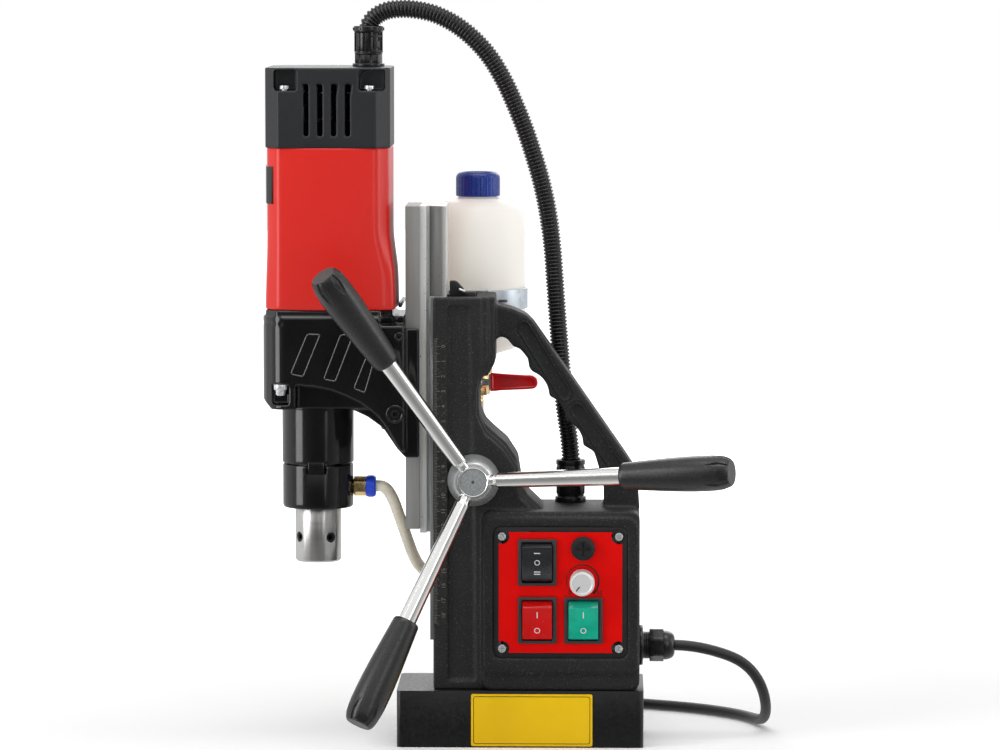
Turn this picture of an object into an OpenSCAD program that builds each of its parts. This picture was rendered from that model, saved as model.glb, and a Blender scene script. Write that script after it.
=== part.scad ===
// Magnetic drill press: a motor head that slides on a column over an electromagnet.
// +Z is up, -X is the drill side, -Y is the operator's side. The origin is the centre of the magnet's face.

/* [Magnet base] */
// Length of the magnet base
base_l = 164.4; // [158:0.2:176]
// Width of the magnet base
base_w = 80; // [76:1:90]
// Height of the magnet base
base_h = 38; // [36:1:44]
// Corner radius of the magnet base
base_r = 3; // [1:0.5:6]
// Radius of each magnet pole core
pole_r = 20; // [18:0.5:22]
// Radial width of each coil groove
coil_w = 13; // [10:0.5:14]
// Height of each magnet coil
coil_h = 19; // [16:0.5:20]
// Thickness of the potting under each coil
potting_t = 6; // [5:0.5:8]
// Length of the yellow plate on the base
plate_l = 80.5; // [60:0.5:90]
// Height of the yellow plate on the base
plate_h = 33; // [24:0.5:34]
// Thickness of thin plates and stickers
plate_t = 0.8; // [0.6:0.1:1.2]

/* [Stand casting] */
// Distance of the column's front face from the centre of the base
column_front = 58; // [56:0.5:60]
// Depth of the column at its top, front to back
column_d = 32; // [30:0.5:36]
// Width of the column
column_w = 66; // [64:1:72]
// Height of the column above the base
column_h = 262; // [255:1:272]
// Size of the chamfer on the column's rear edges
column_edge = 9; // [7:0.5:10]
// Depth of the slide channel in the column
channel_d = 9; // [8.5:0.1:9.5]
// Front end of the control box, ahead of the centre of the base
box_front = 25.3; // [24:0.1:27]
// Rear end of the control box, behind the centre of the base
box_rear = 79.5; // [78.5:0.1:81]
// Height of the control box
box_h = 120; // [118:1:126]
// Width of the control box
box_w = 76; // [75:1:79]
// Corner radius of the control box
box_r = 6; // [3:0.5:8]
// Wall thickness of the control box
box_wall = 8; // [6:0.5:9]
// Height of the rim around the panel
rim_t = 2; // [1:0.5:3]
// Thickness of the carrying handle
handle_t = 28; // [24:0.5:30]

/* [Slide] */
// Width of the dovetail slide at its front
slide_w = 38; // [36:0.5:40]
// Width of the dovetail slide at its back
slide_back_w = 49; // [47:0.5:50]
// Depth of the dovetail
dovetail_d = 11.3; // [11:0.1:11.5]
// Length of the slide above the bottom of the motor
slide_rise = 68; // [60:1:74]
// Length of the slide below the gearbox
slide_drop = 84.3; // [80:0.5:88]
// Width of the head plate
head_plate_w = 52; // [50:0.5:54]
// Thickness of the head plate
head_plate_t = 9.2; // [8:0.2:10]
// Clearance between the slide and its gibs
slide_gap = 0.35; // [0.3:0.05:0.4]
// Thickness of the rack's bar behind its teeth
rack_t = 3.9; // [3.6:0.1:4.2]
// Width of the rack
rack_w = 14; // [12:0.5:15]

/* [Drill head] */
// Distance of the motor's axis from the centre of the base
motor_axis = 127.5; // [127:0.1:129]
// Distance between the motor's axis and the spindle's axis
spindle_offset = 8.8; // [8:0.1:9.5]
// Height of the arbor's mouth above the base at rest
arbor_rise = 82.5; // [78:0.5:90]
// Outer radius of the arbor
arbor_r = 15.4; // [14.6:0.1:16.5]
// Radius of the arbor's bore, which takes a 19.05 mm shank
bore_r = 9.525; // [9.525:0.005:9.6]
// Depth of the arbor's bore
bore_depth = 32; // [30:0.5:33]
// Length of the arbor below the coolant collar
arbor_h = 36.5; // [35:0.5:40]
// Radius of the coolant collar
collar_r = 23.7; // [23:0.1:24]
// Height of the coolant collar
collar_h = 25.7; // [24:0.5:28]
// Radius of the quill
quill_r = 24; // [23.8:0.1:25]
// Height of the quill
quill_h = 43; // [41:0.5:46]
// Height of the gearbox casting
gearbox_h = 66; // [65:0.5:68]
// Width of the gearbox casting, side to side
gearbox_w = 90; // [89:0.5:93]
// Length of the gearbox casting, front to back
gearbox_l = 88; // [87.5:0.5:90]
// Height of the motor housing
motor_h = 107; // [105:1:112]
// Width of the motor housing
motor_w = 86; // [84:0.5:87]
// Wall thickness of the motor housing
motor_wall = 4; // [3:0.5:4.5]
// Height of the motor cover
cover_h = 53; // [51:0.5:56]

/* [Gears] */
// Module of the first gear stage
module_1 = 1; // [0.97:0.01:1.02]
// Module of the second gear stage
module_2 = 1.5; // [1.46:0.01:1.52]
// Module of the rack and its pinion
module_3 = 2; // [1.96:0.01:2.02]
// Sideways play between gear teeth
tooth_play = 0.16; // [0.12:0.01:0.24]
// Face width of the first stage
face_1 = 8; // [7:0.5:9]
// Face width of the second stage
face_2 = 10; // [9:0.5:11]

/* [Capstan] */
// Height of the capstan's axis above the control box
capstan_rise = 20.5; // [20:0.5:24]
// Radius of the capstan's shaft
shaft_r = 8.5; // [8:0.1:9]
// Wall thickness of the capstan's bushes
bush_wall = 2.5; // [2:0.1:3]
// Radius of the hub at its base
hub_r = 17.3; // [16.8:0.1:18]
// Length of the hub
hub_l = 15.4; // [15:0.1:17]
// Tilt of the spokes towards the operator, degrees
spoke_tilt = 20; // [16:0.5:22]
// Turn of the first spoke, degrees
spoke_turn = 4.3; // [0:0.1:8]
// Distance from the hub's centre to the start of a grip
grip_start = 104.8; // [98:0.2:110]
// Length of a grip
grip_l = 75.8; // [68:0.2:76]
// Radius of a spoke at the hub
spoke_r = 5.15; // [4.8:0.05:5.5]
// Radius of a grip at its start
grip_r = 9; // [8:0.1:9.5]
// Radius of a grip at its end
grip_end_r = 11.7; // [11:0.1:12]

/* [Panel] */
// Length of the red overlay on the panel
overlay_l = 82; // [80:0.5:84]
// Height of the red overlay on the panel
overlay_h = 80.8; // [78:0.2:82]
// Width of a rocker switch's frame
switch_w = 25.7; // [24:0.1:26]
// Height of a rocker switch's frame
switch_h = 31; // [30:0.5:32]
// Radius of the speed knob
knob_r = 8.2; // [7.6:0.1:8.6]
// Height of the speed knob
knob_h = 15; // [12:0.5:17]
// Radius of the fuse holder
fuse_r = 8; // [7.6:0.1:8.4]

/* [Coolant and cables] */
// Radius of the coolant bottle
bottle_r = 32.5; // [30:0.5:34]
// Height of the coolant bottle's body
bottle_h = 106; // [98:1:112]
// Radius of the bottle's cap
cap_r = 15; // [14:0.2:16]
// Outer diameter of the conduit
conduit_d = 12.7; // [11.5:0.1:13.5]
// Outer diameter of the coolant hose
hose_d = 8; // [7:0.1:8.4]
// Outer diameter of the mains cord
cord_d = 7.2; // [6.6:0.1:7.6]

/* [Hidden] */
$fn = 48;

// Clearances
fit = 0.05;
gap = 0.3;
seat_gap = 0.1;
nib = 0.01;

// Heights, from the base up
box_top = base_h + box_h;
column_top = base_h + column_h;
capstan_z = box_top + capstan_rise;
arbor_z = base_h + arbor_rise;
collar_z = arbor_z + arbor_h + gap;
quill_z = collar_z + collar_h;
gearbox_z = quill_z + quill_h;
motor_z = gearbox_z + gearbox_h;
cover_z = motor_z + motor_h;
cover_top = cover_z + cover_h;
brush_z = cover_z - 20.5;
stator_top = brush_z - 18.5;

// Places along X
motor_x = -motor_axis;
spindle_x = motor_x - spindle_offset;
front_x = -column_front;
column_rear = front_x + column_d;
channel_x = front_x + channel_d;
slide_back = channel_x - gap;
slide_front = slide_back - dovetail_d;
neck_l = 2;
rib_l = 4.7;
rib_x = slide_front - neck_l - rib_l;
plate_x = rib_x - head_plate_t;

// Places along Y
near_y = -column_w / 2;
box_y = box_w / 2;
channel_w = slide_back_w + 2 * (slide_gap + 2.2);

// Magnet
pole_x = base_l / 4;
groove_r = pole_r + coil_w;
groove_h = potting_t + coil_h + 2;
pole_edge = 0.5;

// Gears
teeth_1a = 10;
teeth_1b = 36;
teeth_2a = 10;
teeth_2b = 24;
teeth_3 = 12;
pressure = 20;
centre_1 = module_1 * (teeth_1a + teeth_1b) / 2;
centre_2 = module_2 * (teeth_2a + teeth_2b) / 2;
lay_x = (centre_2 * centre_2 - centre_1 * centre_1 - spindle_offset * spindle_offset) / (2 * spindle_offset);
lay_y = sqrt(centre_1 * centre_1 - lay_x * lay_x);
lay_place = [motor_x + lay_x, lay_y];
mesh_1 = atan2(lay_y, lay_x);
mesh_2 = atan2(-lay_y, -spindle_offset - lay_x);
pinion_add = 1;
wheel_add_1 = 0.6;
wheel_add_2 = 0.65;
rack_add = 0.67;
root_depth = 1.2;
pitch_3 = module_3 * teeth_3 / 2;
rack_pitch_x = slide_back + rack_t + root_depth * module_3;
capstan_x = rack_pitch_x + pitch_3;
gear_floor = 7;
stage_2_z = gearbox_z + gear_floor + 2;
stage_1_z = stage_2_z + face_2 + 5;
bearing_plate_t = 8;
bearing_plate_z = motor_z - bearing_plate_t;
lay_shaft_r = 4;
motor_shaft_r = 5;
spindle_r = 10;

// Panel
panel_y = -box_y + 1.4;
panel_front = panel_y - 2;
overlay_front = panel_front - 0.5;
panel_x = 26.8;
box_z = base_h + box_h / 2;
panel_z = box_z + 6;
panel_l = overlay_l + 7;
panel_h = overlay_h + 7;
panel_r = 5;
screw_x = 38.8;
screw_z = 37.5;
screw_notch_r = 5;
direction_place = [panel_x - 15.4, panel_z + 20.2];
motor_place = [panel_x - 15.4, panel_z - 18.5];
magnet_place = [panel_x + 15.3, panel_z - 18.5];
fuse_place = [panel_x + 15, panel_z + 29.6];
knob_place = [panel_x + 14.5, panel_z + 7.8];
rocker_w = 19.7;
rocker_r = 13.15;
rocker_gap = 0.4;
switch_frame_t = 2;
switch_depth = 24;
pivot_y = overlay_front + 2;
lean = 12;

// Box cavity
cavity_front = -box_front + box_wall;
cavity_rear = box_rear - box_wall;
cavity_floor = base_h + box_wall;
cavity_top = box_top - box_wall;
rear_cover_t = 2.5;
board_y = 20;
post = 9;
ledge_t = 6;
box_x = (box_rear - box_front) / 2;
cover_l = box_rear + box_front - 11.8;
cover_w = box_h - 10.4;
cover_screw_x = (cavity_rear - cavity_front - post) / 2;
cover_screw_z = (cavity_top - cavity_floor - post) / 2;

// Capstan
bush_r = shaft_r + bush_wall;
pinion_w = rack_w + 2;
pinion_tip = pitch_3 + module_3;
hub_base_y = near_y - gap;
hub_mid_y = near_y - 7;
nose_r = 5;
stud_r = 4;
stud_start = 8;
spoke_start = 15.5;
shaft_end = column_w / 2 - 4;

// Conduit, hose and bottle
gland_place = [33, 24];
upper_gland_x = -101.8;
upper_gland_h = 27;
bottle_x = -30.7;
bottle_y = column_w / 2 + 1.5 + bottle_r;
bottle_z = 255;
tap_h = 34;
tap_z = bottle_z - tap_h;
tap_lever_z = tap_z + 15;
fitting_z = collar_z + 13.4;
fitting_l = 14.4;
cap_z = bottle_z + bottle_h + 1.2;
cap_h = 16.5;
gland_z = 63.5;
gland_l = 23.8;
coil_d = 84;
coil_wide = 4;
coil_high = 2;
coil_x = 22;
coil_y = 101;
coil_edge = (coil_d + (coil_wide - 1) * cord_d) / 2;
rest_gap = 0.1;
plug_turn = 145;
plug_start = 30;
plug_axis = 11;

// Shape of the conduit, from its gland on the box to its gland on the motor, as [x, y, rise]
conduit_rise = 290.7;
conduit_shape = [
    [33, 24, 0], [33, 24, 6.2], [31.6, 24, 20.2], [29, 24, 38.2], [27.5, 24, 57.2], [25.8, 24, 77.2],
    [24, 24, 100.2], [22.4, 23.5, 122.2], [20.6, 22.5, 146.2], [17.7, 20, 169.2], [13.6, 17.5, 189.2],
    [8.2, 15, 208.2], [2.2, 13, 226.2], [-4.6, 11, 243.2], [-12, 9, 259.2], [-21, 7, 274.2],
    [-31.5, 5, 286.2], [-44, 3, 296.2], [-58, 1.5, 303.2], [-72, 0.5, 306.2], [-83, 0, 306.4],
    [-91, 0, 304.8], [-97, 0, 301.4], [-100.6, 0, 297.2], [-101.8, 0, 293.6], [-101.8, 0, 290.7]
];
conduit_low = box_top + 25.8;
conduit_high = cover_top + 22.5;
conduit_route = [for (p = conduit_shape)
    [p[0], p[1], conduit_low + p[2] * (conduit_high - conduit_low) / conduit_rise]];

// Route of the coolant hose, from the tap down behind the column and up to the collar's fitting
hose_route = [
    [-30.7, 67, 221], [-30.7, 67, 212], [-31, 66.6, 198], [-32, 65.5, 182], [-34, 63.5, 165],
    [-37, 61, 148], [-41.5, 58, 132], [-47, 54.5, 119], [-53.5, 51, 110], [-60, 47.5, 106.5],
    [-66, 43.5, 108], [-70.6, 38.5, 113], [-74.2, 32.5, 121], [-77.3, 26, 131], [-80.2, 19.5, 141],
    [-83.2, 13.2, 151], [-86, 7.6, 160], [-89.6, 2.8, 167.4], [-93.4, 0, 170.7], [-97.9, 0, 170.7]
];

// Route of the mains cord, from its gland to the coil behind the box
cord_route = [
    [100, 0, 63.5], [106, 0, 63.5], [115, 0, 62.7], [124, 0.6, 61], [134.4, 2, 58], [144.6, 4, 53.8],
    [152.8, 7, 47.8], [159, 11, 39.8], [163, 16, 31], [165.2, 23, 22], [165.8, 32, 14],
    [164.8, 43, 7.8], [162, 55, 4.6], [157, 68, 3.7], [149, 81, 3.7], [138.4, 93, 3.7],
    [126, 104, 3.7], [111, 114, 3.7], [96, 122, 3.7], [80, 129.6, 3.7], [64, 138, 3.7]
];

// Shapes that repeat

// A box given by its lowest and highest corners
module block(low, high) {
    translate(low) cube(high - low);
}

// A flat shape drawn in X and Z, made solid from y0 to y1
module slab(y0, y1) {
    translate([0, y1, 0]) rotate([90, 0, 0]) linear_extrude(y1 - y0) children();
}

// A cylinder along Y
module rod_y(x, z, r, y0, y1) {
    translate([x, y1, z]) rotate([90, 0, 0]) cylinder(r = r, h = y1 - y0);
}

// A cylinder along X
module rod_x(y, z, r, x0, x1) {
    translate([x0, y, z]) rotate([0, 90, 0]) cylinder(r = r, h = x1 - x0);
}

// A cylinder along Z
module rod_z(place, r, z0, z1) {
    translate([place[0], place[1], z0]) cylinder(r = r, h = z1 - z0);
}

// A tube along Z
module ring_z(place, r_out, r_in, z0, z1) {
    difference() {
        rod_z(place, r_out, z0, z1);
        rod_z(place, r_in, z0 - 1, z1 + 1);
    }
}

// A flat rectangle with round corners, centred
module rounded(l, w, r) {
    square([l - 2 * r, w], center = true);
    square([l, w - 2 * r], center = true);
    for (x = [-1, 1], y = [-1, 1]) translate([x * (l / 2 - r), y * (w / 2 - r)]) circle(r = r);
}

// A flat rectangle with cut corners, centred
module cut_corners(l, w, cut_l, cut_w) {
    polygon([
        [-l / 2, cut_w - w / 2], [cut_l - l / 2, -w / 2], [l / 2 - cut_l, -w / 2], [l / 2, cut_w - w / 2],
        [l / 2, w / 2 - cut_w], [l / 2 - cut_l, w / 2], [cut_l - l / 2, w / 2], [-l / 2, w / 2 - cut_w]
    ]);
}

// A straight groove shape with round ends, from point a to point b
module groove(a, b, w) {
    reach = norm(b - a);
    translate(a) rotate(atan2(b[1] - a[1], b[0] - a[0])) polygon([for (k = [0:15])
        let (turn = 90 + (k < 8 ? k : k - 1) * 180 / 7)
        [(k < 8 ? 0 : reach) + w / 2 * cos(turn), w / 2 * sin(turn)]]);
}

// A pan-head screw along +Z: the head's underside is at 0 and the shank goes down
module screw(head_r, head_h, shank_r, shank_l, slot = 0.8) {
    difference() {
        cylinder(r = head_r, h = head_h);
        translate([0, 0, head_h - 0.8]) block([-head_r * 0.6, -slot / 2, 0], [head_r * 0.6, slot / 2, 2]);
        translate([0, 0, head_h - 0.8]) block([-slot / 2, -head_r * 0.6, 0], [slot / 2, head_r * 0.6, 2]);
    }
    translate([0, 0, -shank_l]) cylinder(r = shank_r, h = shank_l + nib);
}

// Involute gears
function involute(a) = tan(a) * 180 / PI - a;
function tooth_half(rho, m, z) =
    let (pitch_r = m * z / 2, base_r = pitch_r * cos(pressure), a = rho > base_r ? acos(base_r / rho) : 0)
    90 / z - tooth_play / 4 / pitch_r * 180 / PI + involute(pressure) - involute(a);
function tooth_radii(m, z, add) =
    let (base_r = m * z / 2 * cos(pressure), low = max(base_r, m * (z / 2 - root_depth)), tip = m * (z / 2 + add))
    concat([m * (z / 2 - root_depth)], [for (s = [0:4]) low + nib + (tip - low - nib) * s / 4]);
function gear_outline(m, z, add) =
    let (radii = tooth_radii(m, z, add), last = len(radii) - 1)
    [for (i = [0:z - 1]) each concat(
        [for (k = [0:last]) let (a = i * 360 / z - tooth_half(radii[k], m, z)) radii[k] * [cos(a), sin(a)]],
        [for (k = [last:-1:0]) let (a = i * 360 / z + tooth_half(radii[k], m, z)) radii[k] * [cos(a), sin(a)]]
    )];

// A gear about the Z axis, its first tooth pointing at the given angle
module gear(m, z, add, turn, face) {
    rotate(turn) linear_extrude(face) polygon(gear_outline(m, z, add));
}

// Tubes swept along a route
function unit(v) = v / norm(v);
function route_direction(p, i) = unit(p[min(i + 1, len(p) - 1)] - p[max(i - 1, 0)]);
function side_of(t, last) = unit(last - t * (last * t));
function sides_along(p, i = 0, last = [0.1, 1, 0.1], done = []) =
    i == len(p) ? done
    : let (s = side_of(route_direction(p, i), last)) sides_along(p, i + 1, s, concat(done, [s]));
module tube_along(p, r, sides) {
    side = sides_along(p);
    ring_points = [for (i = [0:len(p) - 1]) let (t = route_direction(p, i), s = side[i], u = cross(t, s))
        for (k = [0:sides - 1]) p[i] + r * (cos(k * 360 / sides) * s + sin(k * 360 / sides) * u)];
    last = len(p) - 1;
    polyhedron(
        ring_points,
        concat(
            [[for (k = [0:sides - 1]) k]],
            [for (i = [0:last - 1], k = [0:sides - 1]) let (n = (k + 1) % sides)
                [i * sides + k, (i + 1) * sides + k, (i + 1) * sides + n, i * sides + n]],
            [[for (k = [sides - 1:-1:0]) last * sides + k]]
        )
    );
}

// Magnet base

module magnet_body() color("dimgray") difference() {
    linear_extrude(base_h) rounded(base_l, base_w, base_r);
    for (x = [-pole_x, pole_x]) ring_z([x, 0], groove_r, pole_r, -1, groove_h);
    for (p = base_screw_places) rod_z(p, 2.5, base_h - 8, base_h + 1);
}

module magnet_coils() color("peru")
    for (x = [-pole_x, pole_x])
        ring_z([x, 0], groove_r - seat_gap, pole_r + seat_gap, potting_t, potting_t + coil_h);

module coil_potting() color("saddlebrown")
    for (x = [-pole_x, pole_x]) ring_z([x, 0], groove_r, pole_r, pole_edge, potting_t);

module yellow_plate() color("gold")
    translate([7.8, 0, base_h / 2 - 0.3]) slab(-base_w / 2 - plate_t, -base_w / 2) rounded(plate_l, plate_h, 2);

// Stand casting

// Points of the column's back, from the top down. The first pair is on the near edge, the second at mid depth.
column_back = [
    [[column_rear, column_top], [column_rear + column_edge, column_top]],
    [[column_rear, column_top - 44], [column_rear + column_edge, column_top - 44]],
    [[column_rear - 3, column_top - 62], [column_rear, column_top - 61]],
    [[column_rear - 3, column_top - 79], [column_rear + 0.5, column_top - 78.5]],
    [[column_rear + 2, box_top + 51.5], [column_rear + 4.5, box_top + 55]],
    [[column_rear + 14.5, box_top + 40.6], [column_rear + 16.5, box_top + 44.5]],
    [[column_rear + 22, box_top + 29], [column_rear + 26, box_top + 30]],
    [[column_rear + 25.5, box_top + 9], [column_rear + 29.5, box_top + 11]],
    [[column_rear + 35, box_top], [column_rear + 41, box_top]]
];
column_layers = [[0, column_w / 2], [0.5, column_w / 2 - 4.5], [1, column_w / 2 - 9]];
base_screw_places = [for (x = [cavity_front + post + 7, cavity_rear - post - 7], y = [-20, 20]) [x, y]];

// The near edge of the column is at t = 0 and the middle at t = 1
module column_shape(t) polygon(concat(
    [[front_x, base_h], [front_x, column_top]],
    [for (pair = column_back) pair[0] + (pair[1] - pair[0]) * t],
    [[column_rear + 41, base_h]]
));

// Corners of the handle's finger bumps
bump_top = [column_rear + 33.5, column_top - 50.9];
bump_low = [box_rear - 37.9, box_top + 41.8];
bump_count = 3;
module handle_shape() difference() {
    polygon([
        [column_rear + 2, column_top - 4], [column_rear + 21, column_top - 9],
        [column_rear + 29.5, column_top - 13], [column_rear + 34.5, column_top - 18],
        [box_rear - 9, box_top + 34.8], [box_rear - 4, box_top + 27], [box_rear - 1.1, box_top + 15],
        [box_rear, box_top - 1], [box_rear - 24.2, box_top - 1], [box_rear - 24.2, box_top + 14],
        [box_rear - 28, box_top + 29], [box_rear - 30.7, box_top + 37.5], bump_low, bump_top,
        [column_rear + 31.5, column_top - 48], [column_rear + 30.6, column_top - 42],
        [column_rear + 25.5, column_top - 35.8], [column_rear + 20.8, column_top - 34.1],
        [column_rear + 17, column_top - 29], [column_rear + 13, column_top - 27.4],
        [column_rear + 9, column_top - 29.5], [column_rear + 2, column_top - 38]
    ]);
    for (i = [0:bump_count - 1]) finger_groove(i);
}

// One finger groove between two bumps
module finger_groove(i) {
    step = (bump_low - bump_top) / bump_count;
    reach = norm(step) / 2;
    depth = 3.3;
    r = (reach * reach + depth * depth) / (2 * depth);
    out = [step[1], -step[0]] / norm(step);
    translate(bump_top + step * (i + 0.5) + out * (r - depth)) circle(r = r);
}

// The long recesses on both sides of the handle
module handle_grooves() {
    a = [column_rear + 28, column_top - 21.5];
    b = [box_rear - 50, box_top + 76];
    c = [box_rear - 42, box_top + 66];
    d = [box_rear - 16, box_top + 28];
    groove(a, b, 8);
    groove(c, d, 8);
}

module stand_casting() color("#202022") difference() {
    union() {
        for (layer = column_layers) slab(-layer[1], layer[1]) column_shape(layer[0]);
        translate([box_x, 0, box_z]) slab(-box_y, box_y) rounded(box_rear + box_front, box_h, box_r);
        translate([panel_x, 0, panel_z - 2]) slab(-box_y - rim_t, -box_y + nib)
            rounded(box_rear + box_front - 2, box_h - 16, box_r + 2);
        slab(-handle_t / 2, handle_t / 2) handle_shape();
    }
    // Slide channel and the slot for the rack
    block([front_x - 1, -channel_w / 2, base_h + 3], [channel_x, channel_w / 2, column_top + 1]);
    block([channel_x - 1, -rack_w / 2 - 0.6, base_h + 3], [rack_pitch_x + 3, rack_w / 2 + 0.6, column_top + 1]);
    block([channel_x - 1, -22, column_top - 36], [column_rear - 4, 22, column_top + 1]);
    // Pinion chamber and the bores for the bushes
    rod_y(capstan_x, capstan_z, pinion_tip + 0.8, -pinion_w / 2 - 0.6, pinion_w / 2 + 0.6);
    rod_y(capstan_x, capstan_z, bush_r, near_y - 1, column_w / 2 - 3);
    // Room for the controls, open at the back, the opening behind the panel, and the panel's seat
    block([cavity_front, panel_y + ledge_t, cavity_floor + post], [cavity_rear, box_y + 1, cavity_top - post]);
    block([cavity_front + post, panel_y + ledge_t, cavity_floor], [cavity_rear - post, box_y + 1, cavity_top]);
    translate([panel_x, 0, panel_z]) slab(panel_y - 1, panel_y + ledge_t + 1) panel_opening();
    translate([panel_x, 0, panel_z]) slab(-box_y - rim_t - 1, panel_y) rounded(panel_l + 0.4, panel_h + 0.4, panel_r);
    translate([box_x, 0, box_z]) slab(box_y - rear_cover_t, box_y + 1) rounded(cover_l + 0.4, cover_w + 0.4, panel_r);
    for (x = [-screw_x, screw_x], z = [-screw_z, screw_z])
        rod_y(panel_x + x, panel_z + z, 1.7, panel_y - 1, panel_y + 5.2);
    for (x = [-1, 1], z = [-1, 1])
        rod_y(box_x + x * cover_screw_x, box_z + z * cover_screw_z, 1.7, box_y - 8, box_y + 1);
    // Holes for the glands and the base screws
    rod_x(0, gland_z, 6.2, cavity_rear - 1, box_rear + 1);
    rod_z(gland_place, 8, cavity_top - 1, box_top + 1);
    for (p = base_screw_places) rod_z(p, 3.3, base_h - 1, cavity_floor + 1);
    // Grooves on the sides of the handle
    for (side = [-1, 1]) translate([0, side * handle_t / 2, 0]) slab(-1.2, 1.2) handle_grooves();
}

module base_screws() color("dimgray")
    for (p = base_screw_places) translate([p[0], p[1], cavity_floor]) screw(5, 5, 2.4, box_wall + 7);

// Slide guides

// Half width of the dovetail at a place along X, with a clearance added
function flank(x, add) =
    slide_w / 2 + (x - slide_front) * (slide_back_w - slide_w) / 2 / dovetail_d + add;

module gib_strips() color("silver") for (side = [-1, 1])
    translate([0, 0, base_h + 32.5]) linear_extrude(column_h - 32.5) polygon([
        [slide_front + 0.3, side * channel_w / 2], [slide_front + 0.3, side * flank(slide_front + 0.3, slide_gap)],
        [channel_x - 0.7, side * flank(channel_x - 0.7, slide_gap)], [channel_x - 0.7, side * channel_w / 2]
    ]);

module ruler() color("#1a1a1a")
    block([front_x + 0.4, near_y - 0.4, column_top - 220], [capstan_x - hub_r - gap, near_y, column_top - 26]);

module capstan_bushes() color("darkgoldenrod") for (side = [-1, 1]) difference() {
    from = side < 0 ? near_y : pinion_w / 2 + 0.6;
    to = side < 0 ? -pinion_w / 2 - 0.6 : column_w / 2 - 3;
    rod_y(capstan_x, capstan_z, bush_r, from, to);
    rod_y(capstan_x, capstan_z, shaft_r + fit, from - 1, to + 1);
}

// Control panel

// The opening in the near wall behind the panel, which leaves bosses for the screws
module panel_opening() {
    square([2 * screw_x - 11, 2 * screw_z - 2], center = true);
    square([2 * screw_x - 4.6, 2 * screw_z - 13], center = true);
}

// The holes that the switches, the fuse and the speed control pass through
module panel_holes() {
    for (p = [direction_place, motor_place, magnet_place])
        translate(p) square([switch_w - 3.6, switch_h - 3], center = true);
    translate(fuse_place) circle(r = fuse_r - 1.6);
    translate(knob_place) circle(r = 4);
}

module panel_plate() color("#1c1c1e") difference() {
    slab(panel_front, panel_y) difference() {
        translate([panel_x, panel_z]) rounded(panel_l, panel_h, panel_r);
        panel_holes();
    }
    for (x = [-screw_x, screw_x], z = [-screw_z, screw_z])
        rod_y(panel_x + x, panel_z + z, 1.7, panel_front - 1, panel_y + 1);
}

module panel_overlay() color("#d8161c") slab(overlay_front, panel_front) difference() {
    translate([panel_x, panel_z]) rounded(overlay_l, overlay_h, 3);
    panel_holes();
    for (x = [-screw_x, screw_x], z = [-screw_z, screw_z]) translate([panel_x + x, panel_z + z])
        circle(r = screw_notch_r);
}

module box_screws() color("silver") {
    for (x = [-screw_x, screw_x], z = [-screw_z, screw_z])
        translate([panel_x + x, panel_front, panel_z + z]) rotate([90, 0, 0]) screw(2.6, 1.8, 1.6, 7);
    for (x = [-1, 1], z = [-1, 1]) translate([box_x + x * cover_screw_x, box_y, box_z + z * cover_screw_z])
        rotate([-90, 0, 0]) screw(2.6, 1.8, 1.6, 7);
}

// The body of one rocker switch, with its frame against the panel
module switch_body(place) translate([place[0], 0, place[1]]) difference() {
    union() {
        slab(overlay_front - switch_frame_t, overlay_front) square([switch_w, switch_h], center = true);
        slab(overlay_front - nib, overlay_front + switch_depth)
            square([switch_w - 4, switch_h - 3.4], center = true);
        for (x = [-6, 0, 6]) block([x - 1.5, overlay_front + switch_depth - nib, -6],
            [x + 1.5, overlay_front + switch_depth + 7, -5.2]);
    }
    block([-rocker_w / 2 - gap, overlay_front - switch_frame_t - 1, -rocker_r - rocker_gap],
        [rocker_w / 2 + gap, overlay_front + 13, rocker_r + rocker_gap]);
}

module switch_bodies() color("#151515")
    for (p = [direction_place, motor_place, magnet_place]) switch_body(p);

module fuse_holder() color("#161616") difference() {
    union() {
        rod_y(fuse_place[0], fuse_place[1], fuse_r, overlay_front - 2.4, overlay_front);
        rod_y(fuse_place[0], fuse_place[1], fuse_r - 1.8, overlay_front - nib, overlay_front + 26);
    }
    rod_y(fuse_place[0], fuse_place[1], 4.3, overlay_front - 3, overlay_front + 24);
}

module potentiometer() color("silver") difference() {
    union() {
        rod_y(knob_place[0], knob_place[1], 3.8, overlay_front - 1, panel_y + 1);
        rod_y(knob_place[0], knob_place[1], 8.2, panel_y, panel_y + 11);
    }
    rod_y(knob_place[0], knob_place[1], 3 + fit, overlay_front - 2, panel_y + 8);
}

module control_board() color("darkgreen") {
    block([cavity_front + 5, board_y - 1.6, cavity_floor + post + 1], [cavity_rear - 5, board_y, cavity_top - post - 1]);
    rod_y(panel_x - 18, panel_z - 12, 8, 0, board_y - 1.5);
    block([panel_x + 2, 2, panel_z - 22], [panel_x + 26, board_y - 1.5, panel_z + 4]);
    block([panel_x - 26, 8, panel_z + 8], [panel_x + 20, board_y - 1.5, panel_z + 20]);
}

module rear_cover() color("#242426") difference() {
    union() {
        translate([box_x, 0, box_z]) slab(box_y - rear_cover_t, box_y) rounded(cover_l, cover_w, panel_r);
        for (x = [-1, 1], z = [-1, 1])
            rod_y(box_x + x * (cover_screw_x - 9.9), box_z + z * (cover_screw_z - 9.5), 3, board_y, box_y - rear_cover_t + nib);
    }
    for (x = [-1, 1], z = [-1, 1])
        rod_y(box_x + x * cover_screw_x, box_z + z * cover_screw_z, 1.7, box_y - 8, box_y + 1);
}

// Mains gland and cord

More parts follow.
